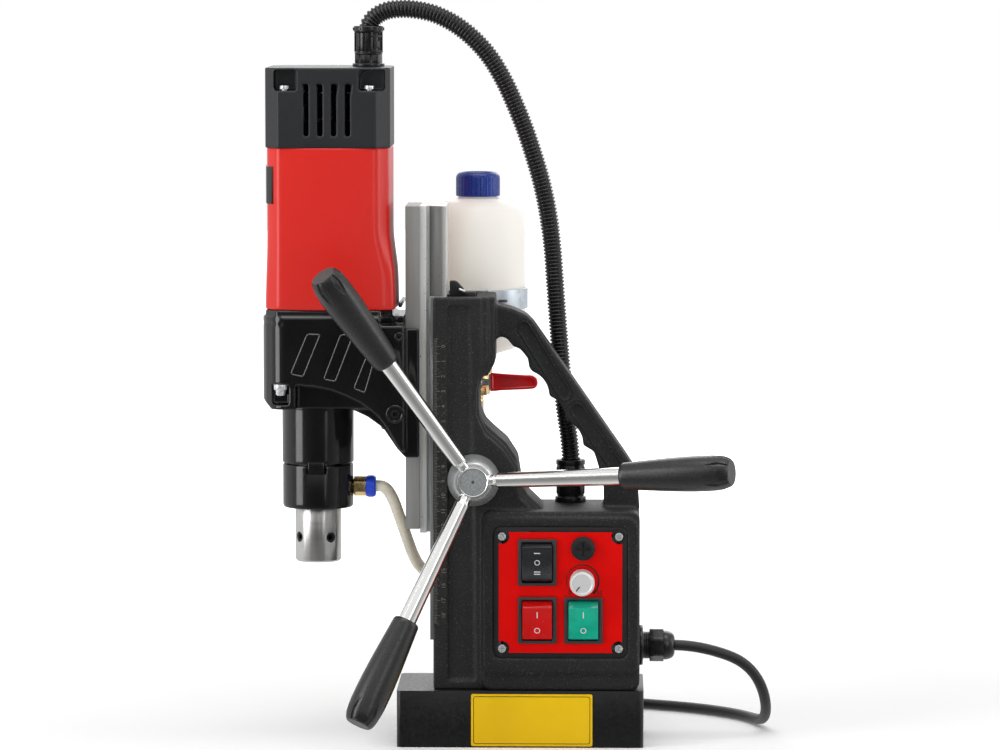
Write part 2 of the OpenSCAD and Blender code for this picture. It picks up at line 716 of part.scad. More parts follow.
module mains_gland() color("#1b1b1d") difference() {
    union() {
        rod_x(0, gland_z, 6, cavity_rear - 3, box_rear + nib);
        rod_x(0, gland_z, 13.4, box_rear, box_rear + 2.4);
        rod_x(0, gland_z, 9, box_rear + 2.3, box_rear + 7);
        translate([box_rear + 6.9, 0, gland_z]) rotate([0, 90, 0]) cylinder(r = 10.9, h = 9.4, $fn = 6);
        translate([box_rear + 16.2, 0, gland_z]) rotate([0, 90, 0])
            cylinder(r1 = 9, r2 = 6.4, h = gland_l - 16.2);
    }
    rod_x(0, gland_z, cord_d / 2 + seat_gap, cavity_rear - 4, box_rear + gland_l + 1);
}

// Places what follows at the plug's end of the cord: +X points along the cord's last stretch
module at_plug() translate([coil_x, coil_y, rest_gap]) rotate(plug_turn) translate([coil_edge, 0, 0]) rotate(90)
    children();

module mains_cord() color("#161616") {
    tube_along(cord_route, cord_d / 2, 10);
    at_plug() rod_x(0, plug_axis, cord_d / 2, plug_start - 12, plug_start);
}

module cord_coil() color("#161616") translate([coil_x, coil_y, 0]) rotate_extrude(convexity = 4)
    translate([coil_d / 2 - coil_wide * cord_d / 2, rest_gap]) square([coil_wide * cord_d, coil_high * cord_d]);

// The plug lies beside the coil
module mains_plug() color("#161616") at_plug() {
    translate([plug_start, 0, plug_axis]) rotate([0, 90, 0]) cylinder(r1 = 4.6, r2 = 7.5, h = 14 + nib);
    block([plug_start + 14, -15, 0], [plug_start + 48, 15, 2 * plug_axis]);
    for (y = [-9.5, 9.5]) rod_x(y, plug_axis, 2.4, plug_start + 48 - nib, plug_start + 67);
}

module lower_conduit_gland() color("#171717") difference() {
    union() {
        rod_z(gland_place, 7.8, cavity_top - 2, box_top + nib);
        rod_z(gland_place, 10.3, box_top, box_top + 3.5);
        rod_z(gland_place, 9.3, box_top + 3.4, box_top + 25);
        rod_z(gland_place, 10.2, box_top + 24.9, box_top + 28.5);
    }
    rod_z(gland_place, conduit_d / 2 + gap, box_top + 25, box_top + 40);
    rod_z(gland_place, conduit_d / 2 - 2, cavity_top - 3, box_top + 26);
}

module motor_conduit() color("#1a1a1a") tube_along(conduit_route, conduit_d / 2, 12);

// Coolant

module coolant_bottle() color("ivory") translate([bottle_x, bottle_y, bottle_z]) rotate_extrude() polygon([
    [7, 0], [12, 0], [bottle_r - 4, 10], [bottle_r, 14], [bottle_r, bottle_h - 16], [bottle_r - 3, bottle_h - 6],
    [bottle_r - 11, bottle_h], [cap_r - 3, bottle_h], [cap_r - 3, bottle_h + 12], [cap_r - 5, bottle_h + 12],
    [cap_r - 5, bottle_h - 1.5], [bottle_r - 11.6, bottle_h - 1.8], [bottle_r - 5, bottle_h - 7.4],
    [bottle_r - 2, bottle_h - 16.5], [bottle_r - 2, 15], [bottle_r - 5, 11.6], [11, 2], [7, 2]
]);

module bottle_strap() color("lightsteelblue") difference() {
    union() {
        rod_z([bottle_x, bottle_y], bottle_r + 1.5, bottle_z + 31, bottle_z + 45);
        block([bottle_x - 26, column_w / 2, bottle_z + 31], [bottle_x + 8, bottle_y - bottle_r + 8, bottle_z + 45]);
    }
    rod_z([bottle_x, bottle_y], bottle_r + seat_gap, bottle_z + 30, bottle_z + 46);
}

module tap_body() color("goldenrod") translate([bottle_x, bottle_y, 0]) difference() {
    union() {
        rod_z([0, 0], 9, tap_z + 5, bottle_z - 4);
        rod_z([0, 0], 12, bottle_z - 4 - nib, bottle_z);
        rod_z([0, 0], 6.8, bottle_z - nib, bottle_z + 9);
        rod_z([0, 0], 4, tap_z, tap_z + 5 + nib);
    }
    rod_z([0, 0], 2.6, tap_z - 1, bottle_z + 10);
    rod_y(0, tap_lever_z, 2.5 + fit, -10, 0);
}

module coolant_hose() color("#e6dcc6") tube_along(hose_route, hose_d / 2, 10);

// Carriage

module head_plate() color("#8d8f92") difference() {
    block([plate_x, -head_plate_w / 2, gearbox_z - slide_drop + 3], [rib_x, head_plate_w / 2, motor_z + slide_rise]);
    for (z = slide_screw_heights) rod_x(0, z, 4.3, plate_x - 1, plate_x + 5);
    for (z = slide_screw_heights) rod_x(0, z, 2.6, plate_x - 1, rib_x + 1);
}

slide_screw_heights = [for (k = [0:4]) gearbox_z - slide_drop + 12 + k * (slide_drop + gearbox_h + slide_rise - 24) / 4];

module dovetail_slide() color("#a4a6a8") difference() {
    translate([0, 0, gearbox_z - slide_drop]) linear_extrude(slide_drop + gearbox_h + slide_rise) polygon(concat(
        [for (p = slide_half) p],
        [for (k = [len(slide_half) - 1:-1:0]) [slide_half[k][0], -slide_half[k][1]]]
    ));
    for (z = slide_screw_heights) rod_x(0, z, 2.5, rib_x - 1, rib_x + 8);
}
slide_half = [
    [rib_x, -head_plate_w / 2 + 4], [rib_x + rib_l, -head_plate_w / 2 + 4], [rib_x + rib_l, -slide_w / 2 + 3],
    [slide_front, -slide_w / 2 + 3], [slide_front, -slide_w / 2], [slide_back, -slide_back_w / 2]
];

module slide_screws() color("#222222")
    for (z = slide_screw_heights) translate([plate_x + 5, 0, z]) rotate([0, -90, 0]) screw(4.2, 4.2, 2.4, 10);

// The rack's tooth gap nearest the capstan's axis is centred on it
rack_low = gearbox_z - slide_drop + 0.5;
rack_high = rack_low + 158;
rack_step = PI * module_3;
rack_tooth = rack_step / 2 - tooth_play / 2;
module rack() color("#77797c") {
    root_x = rack_pitch_x - root_depth * module_3;
    tip_x = rack_pitch_x + rack_add * module_3;
    tip_half = rack_tooth / 2 - rack_add * module_3 * tan(pressure);
    root_half = rack_tooth / 2 + root_depth * module_3 * tan(pressure);
    first = ceil((rack_low + root_half - capstan_z) / rack_step - 0.5);
    last = floor((rack_high - root_half - capstan_z) / rack_step - 0.5);
    slab(-rack_w / 2, rack_w / 2) polygon(concat(
        [[slide_back, rack_high], [slide_back, rack_low], [root_x, rack_low]],
        [for (k = [first:last]) let (z = capstan_z + (k + 0.5) * rack_step) each
            [[root_x, z - root_half], [tip_x, z - tip_half], [tip_x, z + tip_half], [root_x, z + root_half]]],
        [[root_x, rack_high]]
    ));
}

// Gearbox

gearbox_x = spindle_x + 9.3;
module gearbox_side() polygon([
    [gearbox_x - gearbox_l / 2, gearbox_z + 6], [gearbox_x - gearbox_l / 2 + 6, gearbox_z],
    [gearbox_x + gearbox_l / 2, gearbox_z], [gearbox_x + gearbox_l / 2, motor_z],
    [gearbox_x - gearbox_l / 2, motor_z]
]);
module web_side() polygon([
    [gearbox_x + 6, gearbox_z + 2], [gearbox_x + 13, gearbox_z], [gearbox_x + 25, gearbox_z - 5.5],
    [gearbox_x + 35.5, gearbox_z - 13], [gearbox_x + 45, gearbox_z - 27], [plate_x, gearbox_z - 33],
    [plate_x, motor_z - 13], [gearbox_x + 6, motor_z - 13]
]);

module gearbox_casting() color("#0d0d0f") difference() {
    union() {
        intersection() {
            slab(-gearbox_w / 2, gearbox_w / 2) gearbox_side();
            translate([gearbox_x, 0, gearbox_z - 1]) linear_extrude(gearbox_h + 2)
                cut_corners(gearbox_l, gearbox_w, 10, 14);
        }
        slab(-31, 31) web_side();
        for (side = [-1, 1]) block(
            [plate_x - nib, side < 0 ? -31 : head_plate_w / 2 + nib, gearbox_z - 33],
            [rib_x, side < 0 ? -head_plate_w / 2 - nib : 31, motor_z - 13]);
    }
    // Room for the two gear stages
    rod_z([spindle_x, 0], module_2 * (teeth_2b / 2 + 1) + 1, gearbox_z + gear_floor, stage_1_z - 1);
    rod_z(lay_place, module_1 * (teeth_1b / 2 + 1) + 0.8, gearbox_z + gear_floor, bearing_plate_z + nib);
    rod_z([motor_x, 0], module_1 * teeth_1a + 4, gearbox_z + gear_floor + 3, bearing_plate_z + nib);
    translate([gearbox_x, 0, bearing_plate_z]) linear_extrude(bearing_plate_t + 1)
        cut_corners(gearbox_l - 5, gearbox_w - 5, 9, 13);
    // Bores for the spindle and the countershaft
    rod_z([spindle_x, 0], spindle_r + 1, gearbox_z - 1, gearbox_z + gear_floor + 1);
    rod_z(lay_place, lay_shaft_r + fit, gearbox_z + 1, gearbox_z + gear_floor + 1);
}

module bearing_plate() color("#9a9c9e") difference() {
    translate([gearbox_x, 0, bearing_plate_z]) linear_extrude(bearing_plate_t)
        cut_corners(gearbox_l - 5.4, gearbox_w - 5.4, 9, 13);
    rod_z([motor_x, 0], 11, bearing_plate_z - 1, motor_z + 1);
    rod_z(lay_place, lay_shaft_r + fit, bearing_plate_z - 1, motor_z - 1);
}

module ball_bearings() color("silver") {
    ring_z([motor_x, 0], 11 - seat_gap, motor_shaft_r + fit, bearing_plate_z, motor_z);
    ring_z([motor_x, 0], 11 - seat_gap, motor_shaft_r + fit, cover_z + 27, cover_z + 35);
    ring_z([spindle_x, 0], quill_r - 6 - seat_gap, spindle_r + fit, quill_z + 1, quill_z + 12);
    ring_z([spindle_x, 0], quill_r - 6 - seat_gap, spindle_r + fit, gearbox_z - 12, gearbox_z);
}

// Motor

// Outline of the motor, grown all round
module motor_outline(grow) cut_corners(gearbox_l - 4 + 2 * grow, motor_w + 2 * grow, 9, 12);

module motor_housing() color("#c8141a") difference() {
    union() {
        translate([motor_x, 0, motor_z + 46]) linear_extrude(motor_h - 46) motor_outline(0);
        hull() {
            translate([motor_x, 0, motor_z + 46]) linear_extrude(nib) motor_outline(0);
            translate([motor_x + 0.3, 0, motor_z]) linear_extrude(nib) motor_outline(1.5);
        }
    }
    rod_z([motor_x, 0], motor_w / 2 - motor_wall, motor_z - 1, cover_z + 1);
}

module motor_cover() color("#26262a") difference() {
    translate([motor_x, 0, cover_z]) linear_extrude(cover_h) motor_outline(-0.6);
    rod_z([motor_x, 0], motor_w / 2 - motor_wall - 2, cover_z - 1, cover_z + 27);
    rod_z([motor_x, 0], motor_w / 2 - motor_wall - 2, cover_z + 35, cover_top - 4);
    rod_z([motor_x, 0], 11, cover_z + 26, cover_z + 36);
    // Cooling slots on both sides
    for (side = [-1, 1], k = [-1.5:1:1.5])
        block([motor_x + k * 9.1 - 1.65, side < 0 ? -motor_w / 2 - 1 : 24, cover_z + 8],
            [motor_x + k * 9.1 + 1.65, side < 0 ? -24 : motor_w / 2 + 1, cover_z + 42]);
    // Pockets for the cover's screws
    for (x = [-1, 1], side = [-1, 1]) block(
        [motor_x + x * 28 - 7, side < 0 ? -motor_w / 2 - 1 : motor_w / 2 - 7, cover_top - 14],
        [motor_x + x * 28 + 7, side < 0 ? 7 - motor_w / 2 : motor_w / 2 + 1, cover_top + 1]);
    for (x = [-28, 28], side = [-1, 1])
        rod_z([motor_x + x, side * (motor_w / 2 - 3.6)], 1.9, cover_z - 1, cover_top - 13);
    rod_z([upper_gland_x, 0], 6.2, cover_top - 6, cover_top + 1);
}

module cover_screws() color("silver") for (x = [-28, 28], side = [-1, 1])
    translate([motor_x + x, side * (motor_w / 2 - 3.6), cover_top - 14]) screw(3, 2.2, 1.8, cover_h - 15);

module stator() color("#b0561d") {
    difference() {
        rod_z([motor_x, 0], motor_w / 2 - motor_wall - seat_gap, motor_z + 14, stator_top);
        rod_z([motor_x, 0], 22.5, motor_z + 13, stator_top + 1);
        for (side = [-1, 1])
            block([motor_x - 60, side * 34 - 5, motor_z + 13], [motor_x + 60, side * 34 + 5, stator_top + 1]);
    }
}

module brush_gear() color("darkgoldenrod") for (side = [-1, 1]) {
    block([motor_x + (side < 0 ? -motor_w / 2 + motor_wall + 2.4 : 15), -5.5, brush_z - 6.5],
        [motor_x + (side < 0 ? -15 : motor_w / 2 - motor_wall - 2.4), 5.5, brush_z + 6.5]);
    block([motor_x + (side < 0 ? -15 - nib : 12.4), -3.5, brush_z - 4.5],
        [motor_x + (side < 0 ? -12.4 : 15 + nib), 3.5, brush_z + 4.5]);
}

module upper_conduit_gland() color("#19191b") difference() {
    union() {
        rod_z([upper_gland_x, 0], 6, cover_top - 4, cover_top + nib);
        translate([upper_gland_x, 0, cover_top]) cylinder(r = 10.6, h = 6, $fn = 6);
        rod_z([upper_gland_x, 0], 9.3, cover_top + 5.9, cover_top + upper_gland_h);
    }
    rod_z([upper_gland_x, 0], conduit_d / 2 + seat_gap, cover_top + 22.4, cover_top + upper_gland_h + 1);
    rod_z([upper_gland_x, 0], 4, cover_top - 5, cover_top + 23);
}

// Spindle housing

module quill() color("#101012") difference() {
    rod_z([spindle_x, 0], quill_r, quill_z, gearbox_z);
    rod_z([spindle_x, 0], quill_r - 6, quill_z + 1, gearbox_z + 1);
    rod_z([spindle_x, 0], spindle_r + 1, quill_z - 1, quill_z + 2);
}

module coolant_collar() color("#141416") difference() {
    ring_z([spindle_x, 0], collar_r, spindle_r + fit, collar_z, quill_z);
    rod_x(0, fitting_z, 4, spindle_x + spindle_r, spindle_x + collar_r + 1);
}

module coolant_fitting() color("goldenrod") difference() {
    union() {
        rod_x(0, fitting_z, 3.9, spindle_x + collar_r - 8, spindle_x + collar_r + 1);
        translate([spindle_x + collar_r, 0, fitting_z]) rotate([0, 90, 0]) cylinder(r = 6.8, h = fitting_l - 4, $fn = 6);
        rod_x(0, fitting_z, 5.6, spindle_x + collar_r + fitting_l - 4 - nib, spindle_x + collar_r + fitting_l);
    }
    rod_x(0, fitting_z, 2.4, spindle_x + collar_r - 9, spindle_x + collar_r + fitting_l + 1);
}

// Capstan

module capstan_shaft() color("#b5b7ba") {
    rod_y(capstan_x, capstan_z, shaft_r, hub_base_y, shaft_end);
    rod_y(capstan_x, capstan_z, nose_r, hub_base_y - hub_l + 3, hub_base_y + nib);
    translate([capstan_x, pinion_w / 2, capstan_z]) rotate([90, 0, 0]) gear(module_3, teeth_3, pinion_add, 0, pinion_w);
}

// Puts what follows along a spoke: +Z points from the hub's centre to the grip
module along_spoke(turn)
    translate([capstan_x, hub_mid_y, capstan_z]) rotate([0, -turn, 0]) rotate([0, 0, -spoke_tilt]) rotate([0, 90, 0])
        children();

spoke_turns = [for (k = [0:2]) spoke_turn + k * 120];

module capstan_hub() color("#c9cbce") difference() {
    translate([capstan_x, hub_base_y, capstan_z]) rotate([90, 0, 0]) rotate_extrude() polygon([
        [nose_r + seat_gap, 0], [hub_r, 0], [hub_r, 2], [hub_r - 1.6, 6], [hub_r - 4.6, 12], [hub_r - 7, hub_l],
        [0, hub_l], [0, hub_l - 2.9], [nose_r + seat_gap, hub_l - 2.9]
    ]);
    for (turn = spoke_turns) along_spoke(turn) translate([0, 0, stud_start]) cylinder(r = stud_r, h = 30);
}

module spokes() color("#d4d6d9") for (turn = spoke_turns) along_spoke(turn) {
    translate([0, 0, stud_start]) cylinder(r = stud_r, h = spoke_start - stud_start + nib);
    translate([0, 0, spoke_start]) cylinder(r1 = spoke_r - 0.9, r2 = spoke_r, h = 2.5 + nib);
    translate([0, 0, spoke_start + 2.5]) cylinder(r1 = spoke_r, r2 = spoke_r + 0.85, h = grip_start - spoke_start - 2.5);
    translate([0, 0, grip_start - nib]) cylinder(r = stud_r, h = grip_l * 0.6);
}

module grips() color("#2a2a2c") for (turn = spoke_turns) along_spoke(turn) translate([0, 0, grip_start])
    difference() {
        union() {
            cylinder(r1 = grip_r, r2 = grip_end_r, h = grip_l - 5);
            translate([0, 0, grip_l - 5 - nib]) cylinder(r1 = grip_end_r, r2 = grip_end_r - 2.8, h = 5 + nib);
        }
        translate([0, 0, -1]) cylinder(r = stud_r, h = grip_l * 0.6 + 1);
    }

// Spindle

module arbor() color("#cfd1d3") difference() {
    union() {
        rod_z([spindle_x, 0], arbor_r, arbor_z + 1.2, arbor_z + arbor_h);
        translate([spindle_x, 0, arbor_z]) cylinder(r1 = arbor_r - 1.2, r2 = arbor_r, h = 1.2 + nib);
        rod_z([spindle_x, 0], spindle_r, arbor_z + arbor_h - nib, stage_2_z + face_2 + 1);
    }
    rod_z([spindle_x, 0], bore_r, arbor_z - 1, arbor_z + bore_depth);
    for (turn = grub_turns) translate([spindle_x, 0, arbor_z + 16.8]) rotate([0, 90, turn])
        translate([0, 0, bore_r - 1]) cylinder(r = 3.5, h = 12);
}
grub_turns = [-90 - 53, -90 + 37];

module arbor_grub_screws() color("#1d1d1f")
    for (turn = grub_turns) translate([spindle_x, 0, arbor_z + 16.8]) rotate([0, 90, turn])
        translate([0, 0, bore_r + 0.6]) difference() {
            cylinder(r = 3.5, h = 4.2);
            translate([0, 0, 2]) cylinder(r = 2, h = 4, $fn = 6);
        }

module spindle_wheel() color("#8c8e91") difference() {
    translate([spindle_x, 0, stage_2_z]) gear(module_2, teeth_2b, wheel_add_2, mesh_2 + 180 + 180 / teeth_2b, face_2);
    rod_z([spindle_x, 0], spindle_r, stage_2_z - 1, stage_2_z + face_2 + 1);
}

// Countershaft: a wheel driven by the armature and a pinion that drives the spindle's wheel
module countershaft() color("#96989b") {
    rod_z(lay_place, lay_shaft_r, gearbox_z + 1.3, motor_z - 1.3);
    translate([lay_place[0], lay_place[1], stage_1_z])
        gear(module_1, teeth_1b, wheel_add_1, mesh_1 + 180 + 180 / teeth_1b, face_1);
    translate([lay_place[0], lay_place[1], stage_2_z - 0.5])
        gear(module_2, teeth_2a, pinion_add, mesh_2, stage_1_z - stage_2_z + 0.5 + nib);
}

// Armature and fan

module armature() color("#7b5a3c") {
    rod_z([motor_x, 0], motor_shaft_r - 1.2, stage_1_z - 1, stage_1_z + nib);
    translate([motor_x, 0, stage_1_z - 0.5]) gear(module_1, teeth_1a, pinion_add, mesh_1, face_1 + 1);
    rod_z([motor_x, 0], motor_shaft_r, stage_1_z + face_1 + 0.4, cover_z + 36);
    rod_z([motor_x, 0], 21.5, motor_z + 16, stator_top - 2);
    rod_z([motor_x, 0], 12, brush_z - 10.5, brush_z + 9.5);
}

module cooling_fan() color("#303034") difference() {
    union() {
        rod_z([motor_x, 0], 30, cover_z + 4, cover_z + 6);
        rod_z([motor_x, 0], 9, cover_z + 4, cover_z + 18);
        for (k = [0:8]) translate([motor_x, 0, cover_z + 6 - nib]) rotate(k * 40) block([8, -0.8, 0], [29, 0.8, 11]);
    }
    rod_z([motor_x, 0], motor_shaft_r, cover_z + 3, cover_z + 19);
}

// Small moving parts

// A rocker that turns about X at its pivot. The lean tips its lower half in.
module rocker(place, tip) translate([place[0], pivot_y, place[1]]) rotate([tip, 0, 0]) rotate([0, -90, 0])
    rotate([180, 0, 0]) translate([0, 0, -rocker_w / 2]) linear_extrude(rocker_w) intersection() {
        circle(r = rocker_r);
        polygon([[-14, -3], [14, -3], [14, 7.6], [0, 5.6], [-14, 7.6]]);
    }

module direction_rocker() color("#101010") rocker(direction_place, 0);
module motor_rocker() color("#cc1119") rocker(motor_place, lean);
module magnet_rocker() color("#0e9a5a") rocker(magnet_place, lean);

module speed_knob() color("silver") {
    rod_y(knob_place[0], knob_place[1], knob_r, overlay_front - 1.4 - knob_h, overlay_front - 1.4);
    rod_y(knob_place[0], knob_place[1], 3, overlay_front - 1.4 - nib, panel_y + 6);
}

module fuse_cap() color("#131313") difference() {
    union() {
        rod_y(fuse_place[0], fuse_place[1], fuse_r - 0.9, overlay_front - 5.4, overlay_front - 2.4 - gap);
        rod_y(fuse_place[0], fuse_place[1], 4.25, overlay_front - 2.4 - gap - nib, overlay_front + 20);
    }
    for (turn = [0, 90]) translate([fuse_place[0], overlay_front - 5.4, fuse_place[1]]) rotate([0, turn, 0])
        block([-4.6, -1, -0.7], [4.6, 1.1, 0.7]);
}

module tap_lever() color("#d3121a") translate([bottle_x, bottle_y, tap_lever_z]) {
    rod_y(0, 0, 2.5, -13, -3);
    slab(-15, -12) union() {
        circle(r = 7);
        polygon([[0, -6.5], [9, -6.5], [24, -5], [38, -4], [41, -2], [41, 2], [38, 4.5], [24, 5], [9, 6.5], [0, 6.5]]);
    }
}

module bottle_cap() color("#1c3f9e") translate([bottle_x, bottle_y, cap_z]) difference() {
    cylinder(r = cap_r, h = cap_h);
    translate([0, 0, -1]) cylinder(r = cap_r - 3 + gap, h = cap_h - 3);
}

magnet_body();
magnet_coils();
coil_potting();
yellow_plate();
stand_casting();
base_screws();
gib_strips();
ruler();
capstan_bushes();
panel_plate();
panel_overlay();
box_screws();
switch_bodies();
fuse_holder();
potentiometer();
control_board();
rear_cover();
mains_gland();
mains_cord();
cord_coil();
mains_plug();
lower_conduit_gland();
motor_conduit();
coolant_bottle();
bottle_strap();
tap_body();
coolant_hose();
head_plate();
dovetail_slide();
slide_screws();
rack();
gearbox_casting();
bearing_plate();
ball_bearings();
motor_housing();
motor_cover();
cover_screws();
stator();
brush_gear();
upper_conduit_gland();
quill();
coolant_collar();
coolant_fitting();
capstan_shaft();
capstan_hub();
spokes();
grips();
arbor();
spindle_wheel();
arbor_grub_screws();
countershaft();
armature();
cooling_fan();
direction_rocker();
motor_rocker();
magnet_rocker();
speed_knob();
fuse_cap();
tap_lever();
bottle_cap();
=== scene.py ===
"""Looks of the magnetic drill press. Shapes are given in millimetres in the part's own frame."""

import math

import bmesh
import bpy
from mathutils import Matrix, Vector


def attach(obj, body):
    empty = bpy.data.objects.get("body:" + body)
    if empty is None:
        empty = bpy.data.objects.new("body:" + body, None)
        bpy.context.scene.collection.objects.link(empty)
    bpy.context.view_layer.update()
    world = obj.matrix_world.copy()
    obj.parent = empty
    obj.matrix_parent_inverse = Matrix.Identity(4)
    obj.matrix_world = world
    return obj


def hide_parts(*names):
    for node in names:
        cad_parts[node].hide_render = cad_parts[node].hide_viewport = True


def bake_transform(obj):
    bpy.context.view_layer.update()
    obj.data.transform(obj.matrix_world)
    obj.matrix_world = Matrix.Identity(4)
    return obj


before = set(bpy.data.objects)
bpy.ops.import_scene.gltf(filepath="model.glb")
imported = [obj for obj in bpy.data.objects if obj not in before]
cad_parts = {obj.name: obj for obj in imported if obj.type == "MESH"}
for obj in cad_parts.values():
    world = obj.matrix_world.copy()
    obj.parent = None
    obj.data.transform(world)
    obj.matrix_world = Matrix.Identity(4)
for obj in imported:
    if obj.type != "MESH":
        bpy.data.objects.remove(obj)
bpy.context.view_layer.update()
MM = 0.001
TAU = 2 * math.pi
scene = bpy.context.scene

# ---------------------------------------------------------------- camera

camera_data = bpy.data.cameras.new("camera")
camera = bpy.data.objects.new("camera", camera_data)
scene.collection.objects.link(camera)
camera.location = (0.05618, -3.2201, 0.52704)
camera.rotation_euler = (math.radians(90 - 4.993), 0, math.radians(1.252))
camera_data.sensor_width = 36
camera_data.lens = 173.73
camera_data.clip_end = 50
scene.camera = camera

# ---------------------------------------------------------------- shapes


class Shape:
    """Points in millimetres and faces, gathered before they become one mesh."""

    def __init__(self):
        self.points = []
        self.faces = []

    def add(self, points, faces, at=None):
        first = len(self.points)
        self.points += [tuple(at @ Vector(p)) if at else tuple(p) for p in points]
        self.faces += [[i + first for i in face] for face in faces]
        return self

    def join(self, other):
        return self.add(other.points, other.faces)

    def loft(self, rings, at=None, closed=False):
        """A solid through rings of points, each with the same number. closed joins the last to the first."""
        n = len(rings[0])
        faces = []
        for i in range(len(rings) if closed else len(rings) - 1):
            here, there = i * n, (i + 1) % len(rings) * n
            for k in range(n):
                m = (k + 1) % n
                faces.append([here + k, here + m, there + m, there + k])
        if not closed:
            faces += [list(range(n))[::-1], [(len(rings) - 1) * n + k for k in range(n)]]
        return self.add([p for ring in rings for p in ring], faces, at)

    def lathe(self, profile, at=None, sides=48, wave=None):
        """Turned about the local Z axis. profile lists (radius, height), and wave changes a radius."""
        rings = []
        for r, h in profile:
            turns = [TAU * k / sides for k in range(sides)]
            reach = [wave(r, h, turn) if wave else r for turn in turns]
            rings.append([(far * math.cos(turn), far * math.sin(turn), h) for far, turn in zip(reach, turns)])
        closed = profile[0] == profile[-1]
        return self.loft(rings[:-1] if closed else rings, at, closed)

    def prism(self, outline, low, high, at=None, hole=None):
        """A flat outline in the local XY plane made solid from low to high."""
        n = len(outline)
        points = [(x, y, low) for x, y in outline] + [(x, y, high) for x, y in outline]
        sides = [[k, (k + 1) % n, n + (k + 1) % n, n + k] for k in range(n)]
        if hole is None:
            return self.add(points, [list(range(n))[::-1], list(range(n, 2 * n))] + sides, at)
        points += [(x, y, low) for x, y in hole] + [(x, y, high) for x, y in hole]
        inner = [[2 * n + (k + 1) % n, 2 * n + k, 3 * n + k, 3 * n + (k + 1) % n] for k in range(n)]
        caps = [[(k + 1) % n, k, 2 * n + k, 2 * n + (k + 1) % n] for k in range(n)]
        caps += [[n + k, n + (k + 1) % n, 3 * n + (k + 1) % n, 3 * n + k] for k in range(n)]
        return self.add(points, sides + inner + caps, at)

    def box(self, low, high, at=None):
        outline = [(low[0], low[1]), (high[0], low[1]), (high[0], high[1]), (low[0], high[1])]
        return self.prism(outline, low[2], high[2], at)

    def tube(self, route, radii, sides=16, closed=False):
        """A tube along a route, with one radius or one for each point. closed joins its ends into a ring."""
        points, faces = [], []
        n = len(route)
        side = Vector((0.1, 1, 0.12))
        for i, p in enumerate(route):
            before = route[(i - 1) % n] if closed else route[max(i - 1, 0)]
            after = route[(i + 1) % n] if closed else route[min(i + 1, n - 1)]
            along = (Vector(after) - Vector(before)).normalized()
            side = (side - along * side.dot(along)).normalized()
            other = along.cross(side)
            r = radii[i] if hasattr(radii, "__len__") else radii
            for k in range(sides):
                turn = TAU * k / sides
                points.append(tuple(Vector(p) + r * (side * math.cos(turn) + other * math.sin(turn))))
        for i in range(n if closed else n - 1):
            j = (i + 1) % n
            for k in range(sides):
                m = (k + 1) % sides
                faces.append([i * sides + k, j * sides + k, j * sides + m, i * sides + m])
        if not closed:
            faces.append(list(range(sides)))
            faces.append([(n - 1) * sides + k for k in range(sides)][::-1])
        return self.add(points, faces)

    def mesh(self, name):
        made = bpy.data.meshes.new(name)
        made.from_pydata([tuple(c * MM for c in p) for p in self.points], [], self.faces)
        return made


def place(x=0, y=0, z=0, about=(), scale=None):
    """A matrix that turns by the (axis, degrees) steps, the last one first, and then moves to x, y, z."""
    m = Matrix.Translation((x, y, z))
    for axis, degrees in about:
        m = m @ Matrix.Rotation(math.radians(degrees), 4, axis)
    return m @ Matrix.Diagonal((*scale, 1)) if scale else m


def facing_near(x=0, y=0, z=0):
    """Local X and Y become the part's X and Z, and local Z points at the operator."""
    return place(x, y, z, [("X", 90)])


NEAR = facing_near()
FAR = place(about=[("X", 90)], scale=(1, 1, -1))


def rounded(l, w, r, steps=4, middle=(0, 0)):
    """A rectangle's outline with round corners."""
    r = min(r, l / 2 - 1e-3, w / 2 - 1e-3)
    outline = []
    for cx, cy, start in ((1, 1, 0), (-1, 1, 90), (-1, -1, 180), (1, -1, 270)):
        for k in range(steps + 1):
            turn = math.radians(start + 90 * k / steps)
            x, y = cx * (l / 2 - r) + r * math.cos(turn), cy * (w / 2 - r) + r * math.sin(turn)
            outline.append((middle[0] + x, middle[1] + y))
    return outline


def circle(r, sides=32, degrees=0):
    turns = [TAU * k / sides + math.radians(degrees) for k in range(sides)]
    return [(r * math.cos(turn), r * math.sin(turn)) for turn in turns]


def hexagon(r, degrees=0):
    return circle(r, 6, degrees)


def worn_hexagon(r, sides, most=math.inf):
    """A hexagon with its flats at 0.9 of r and blunt corners, none of them past most times r."""
    out = []
    for k, (x, y) in enumerate(circle(r, sides)):
        off_flat = (TAU * k / sides) % (TAU / 6) - TAU / 12
        share = min(most, 0.9 / max(0.87, math.cos(off_flat)))
        out.append((x * share, y * share))
    return out


def capsule(x0, z0, x1, z1, r):
    """A long outline with round ends."""
    steps = 9
    along = math.atan2(z1 - z0, x1 - x0)
    out = []
    for x, z, start in ((x0, z0, 0.5), (x1, z1, -0.5)):
        turns = [along + math.pi * (start + k / (steps - 1)) for k in range(steps)]
        out += [(x + r * math.cos(turn), z + r * math.sin(turn)) for turn in turns]
    return out


def mirrored(points):
    """An open outline and its mirror image in the X axis, joined into one."""
    return points + [(x, -y) for x, y in points[::-1]]


def inset(points, width):
    """The outline of a closed polygon set inside it."""
    n = len(points)
    middle = Vector((sum(p[0] for p in points) / n, sum(p[1] for p in points) / n))
    inner = []
    for i in range(n):
        a, p, b = (Vector(points[(i + k - 1) % n]) for k in range(3))
        n1 = Vector((-(p - a).y, (p - a).x)).normalized()
        n2 = Vector((-(b - p).y, (b - p).x)).normalized()
        if (middle - p).dot(n1) < 0:
            n1, n2 = -n1, -n2
        out = (n1 + n2).normalized()
        inner.append(tuple(p + out * width / max(0.3, out.dot(n1))))
    return inner


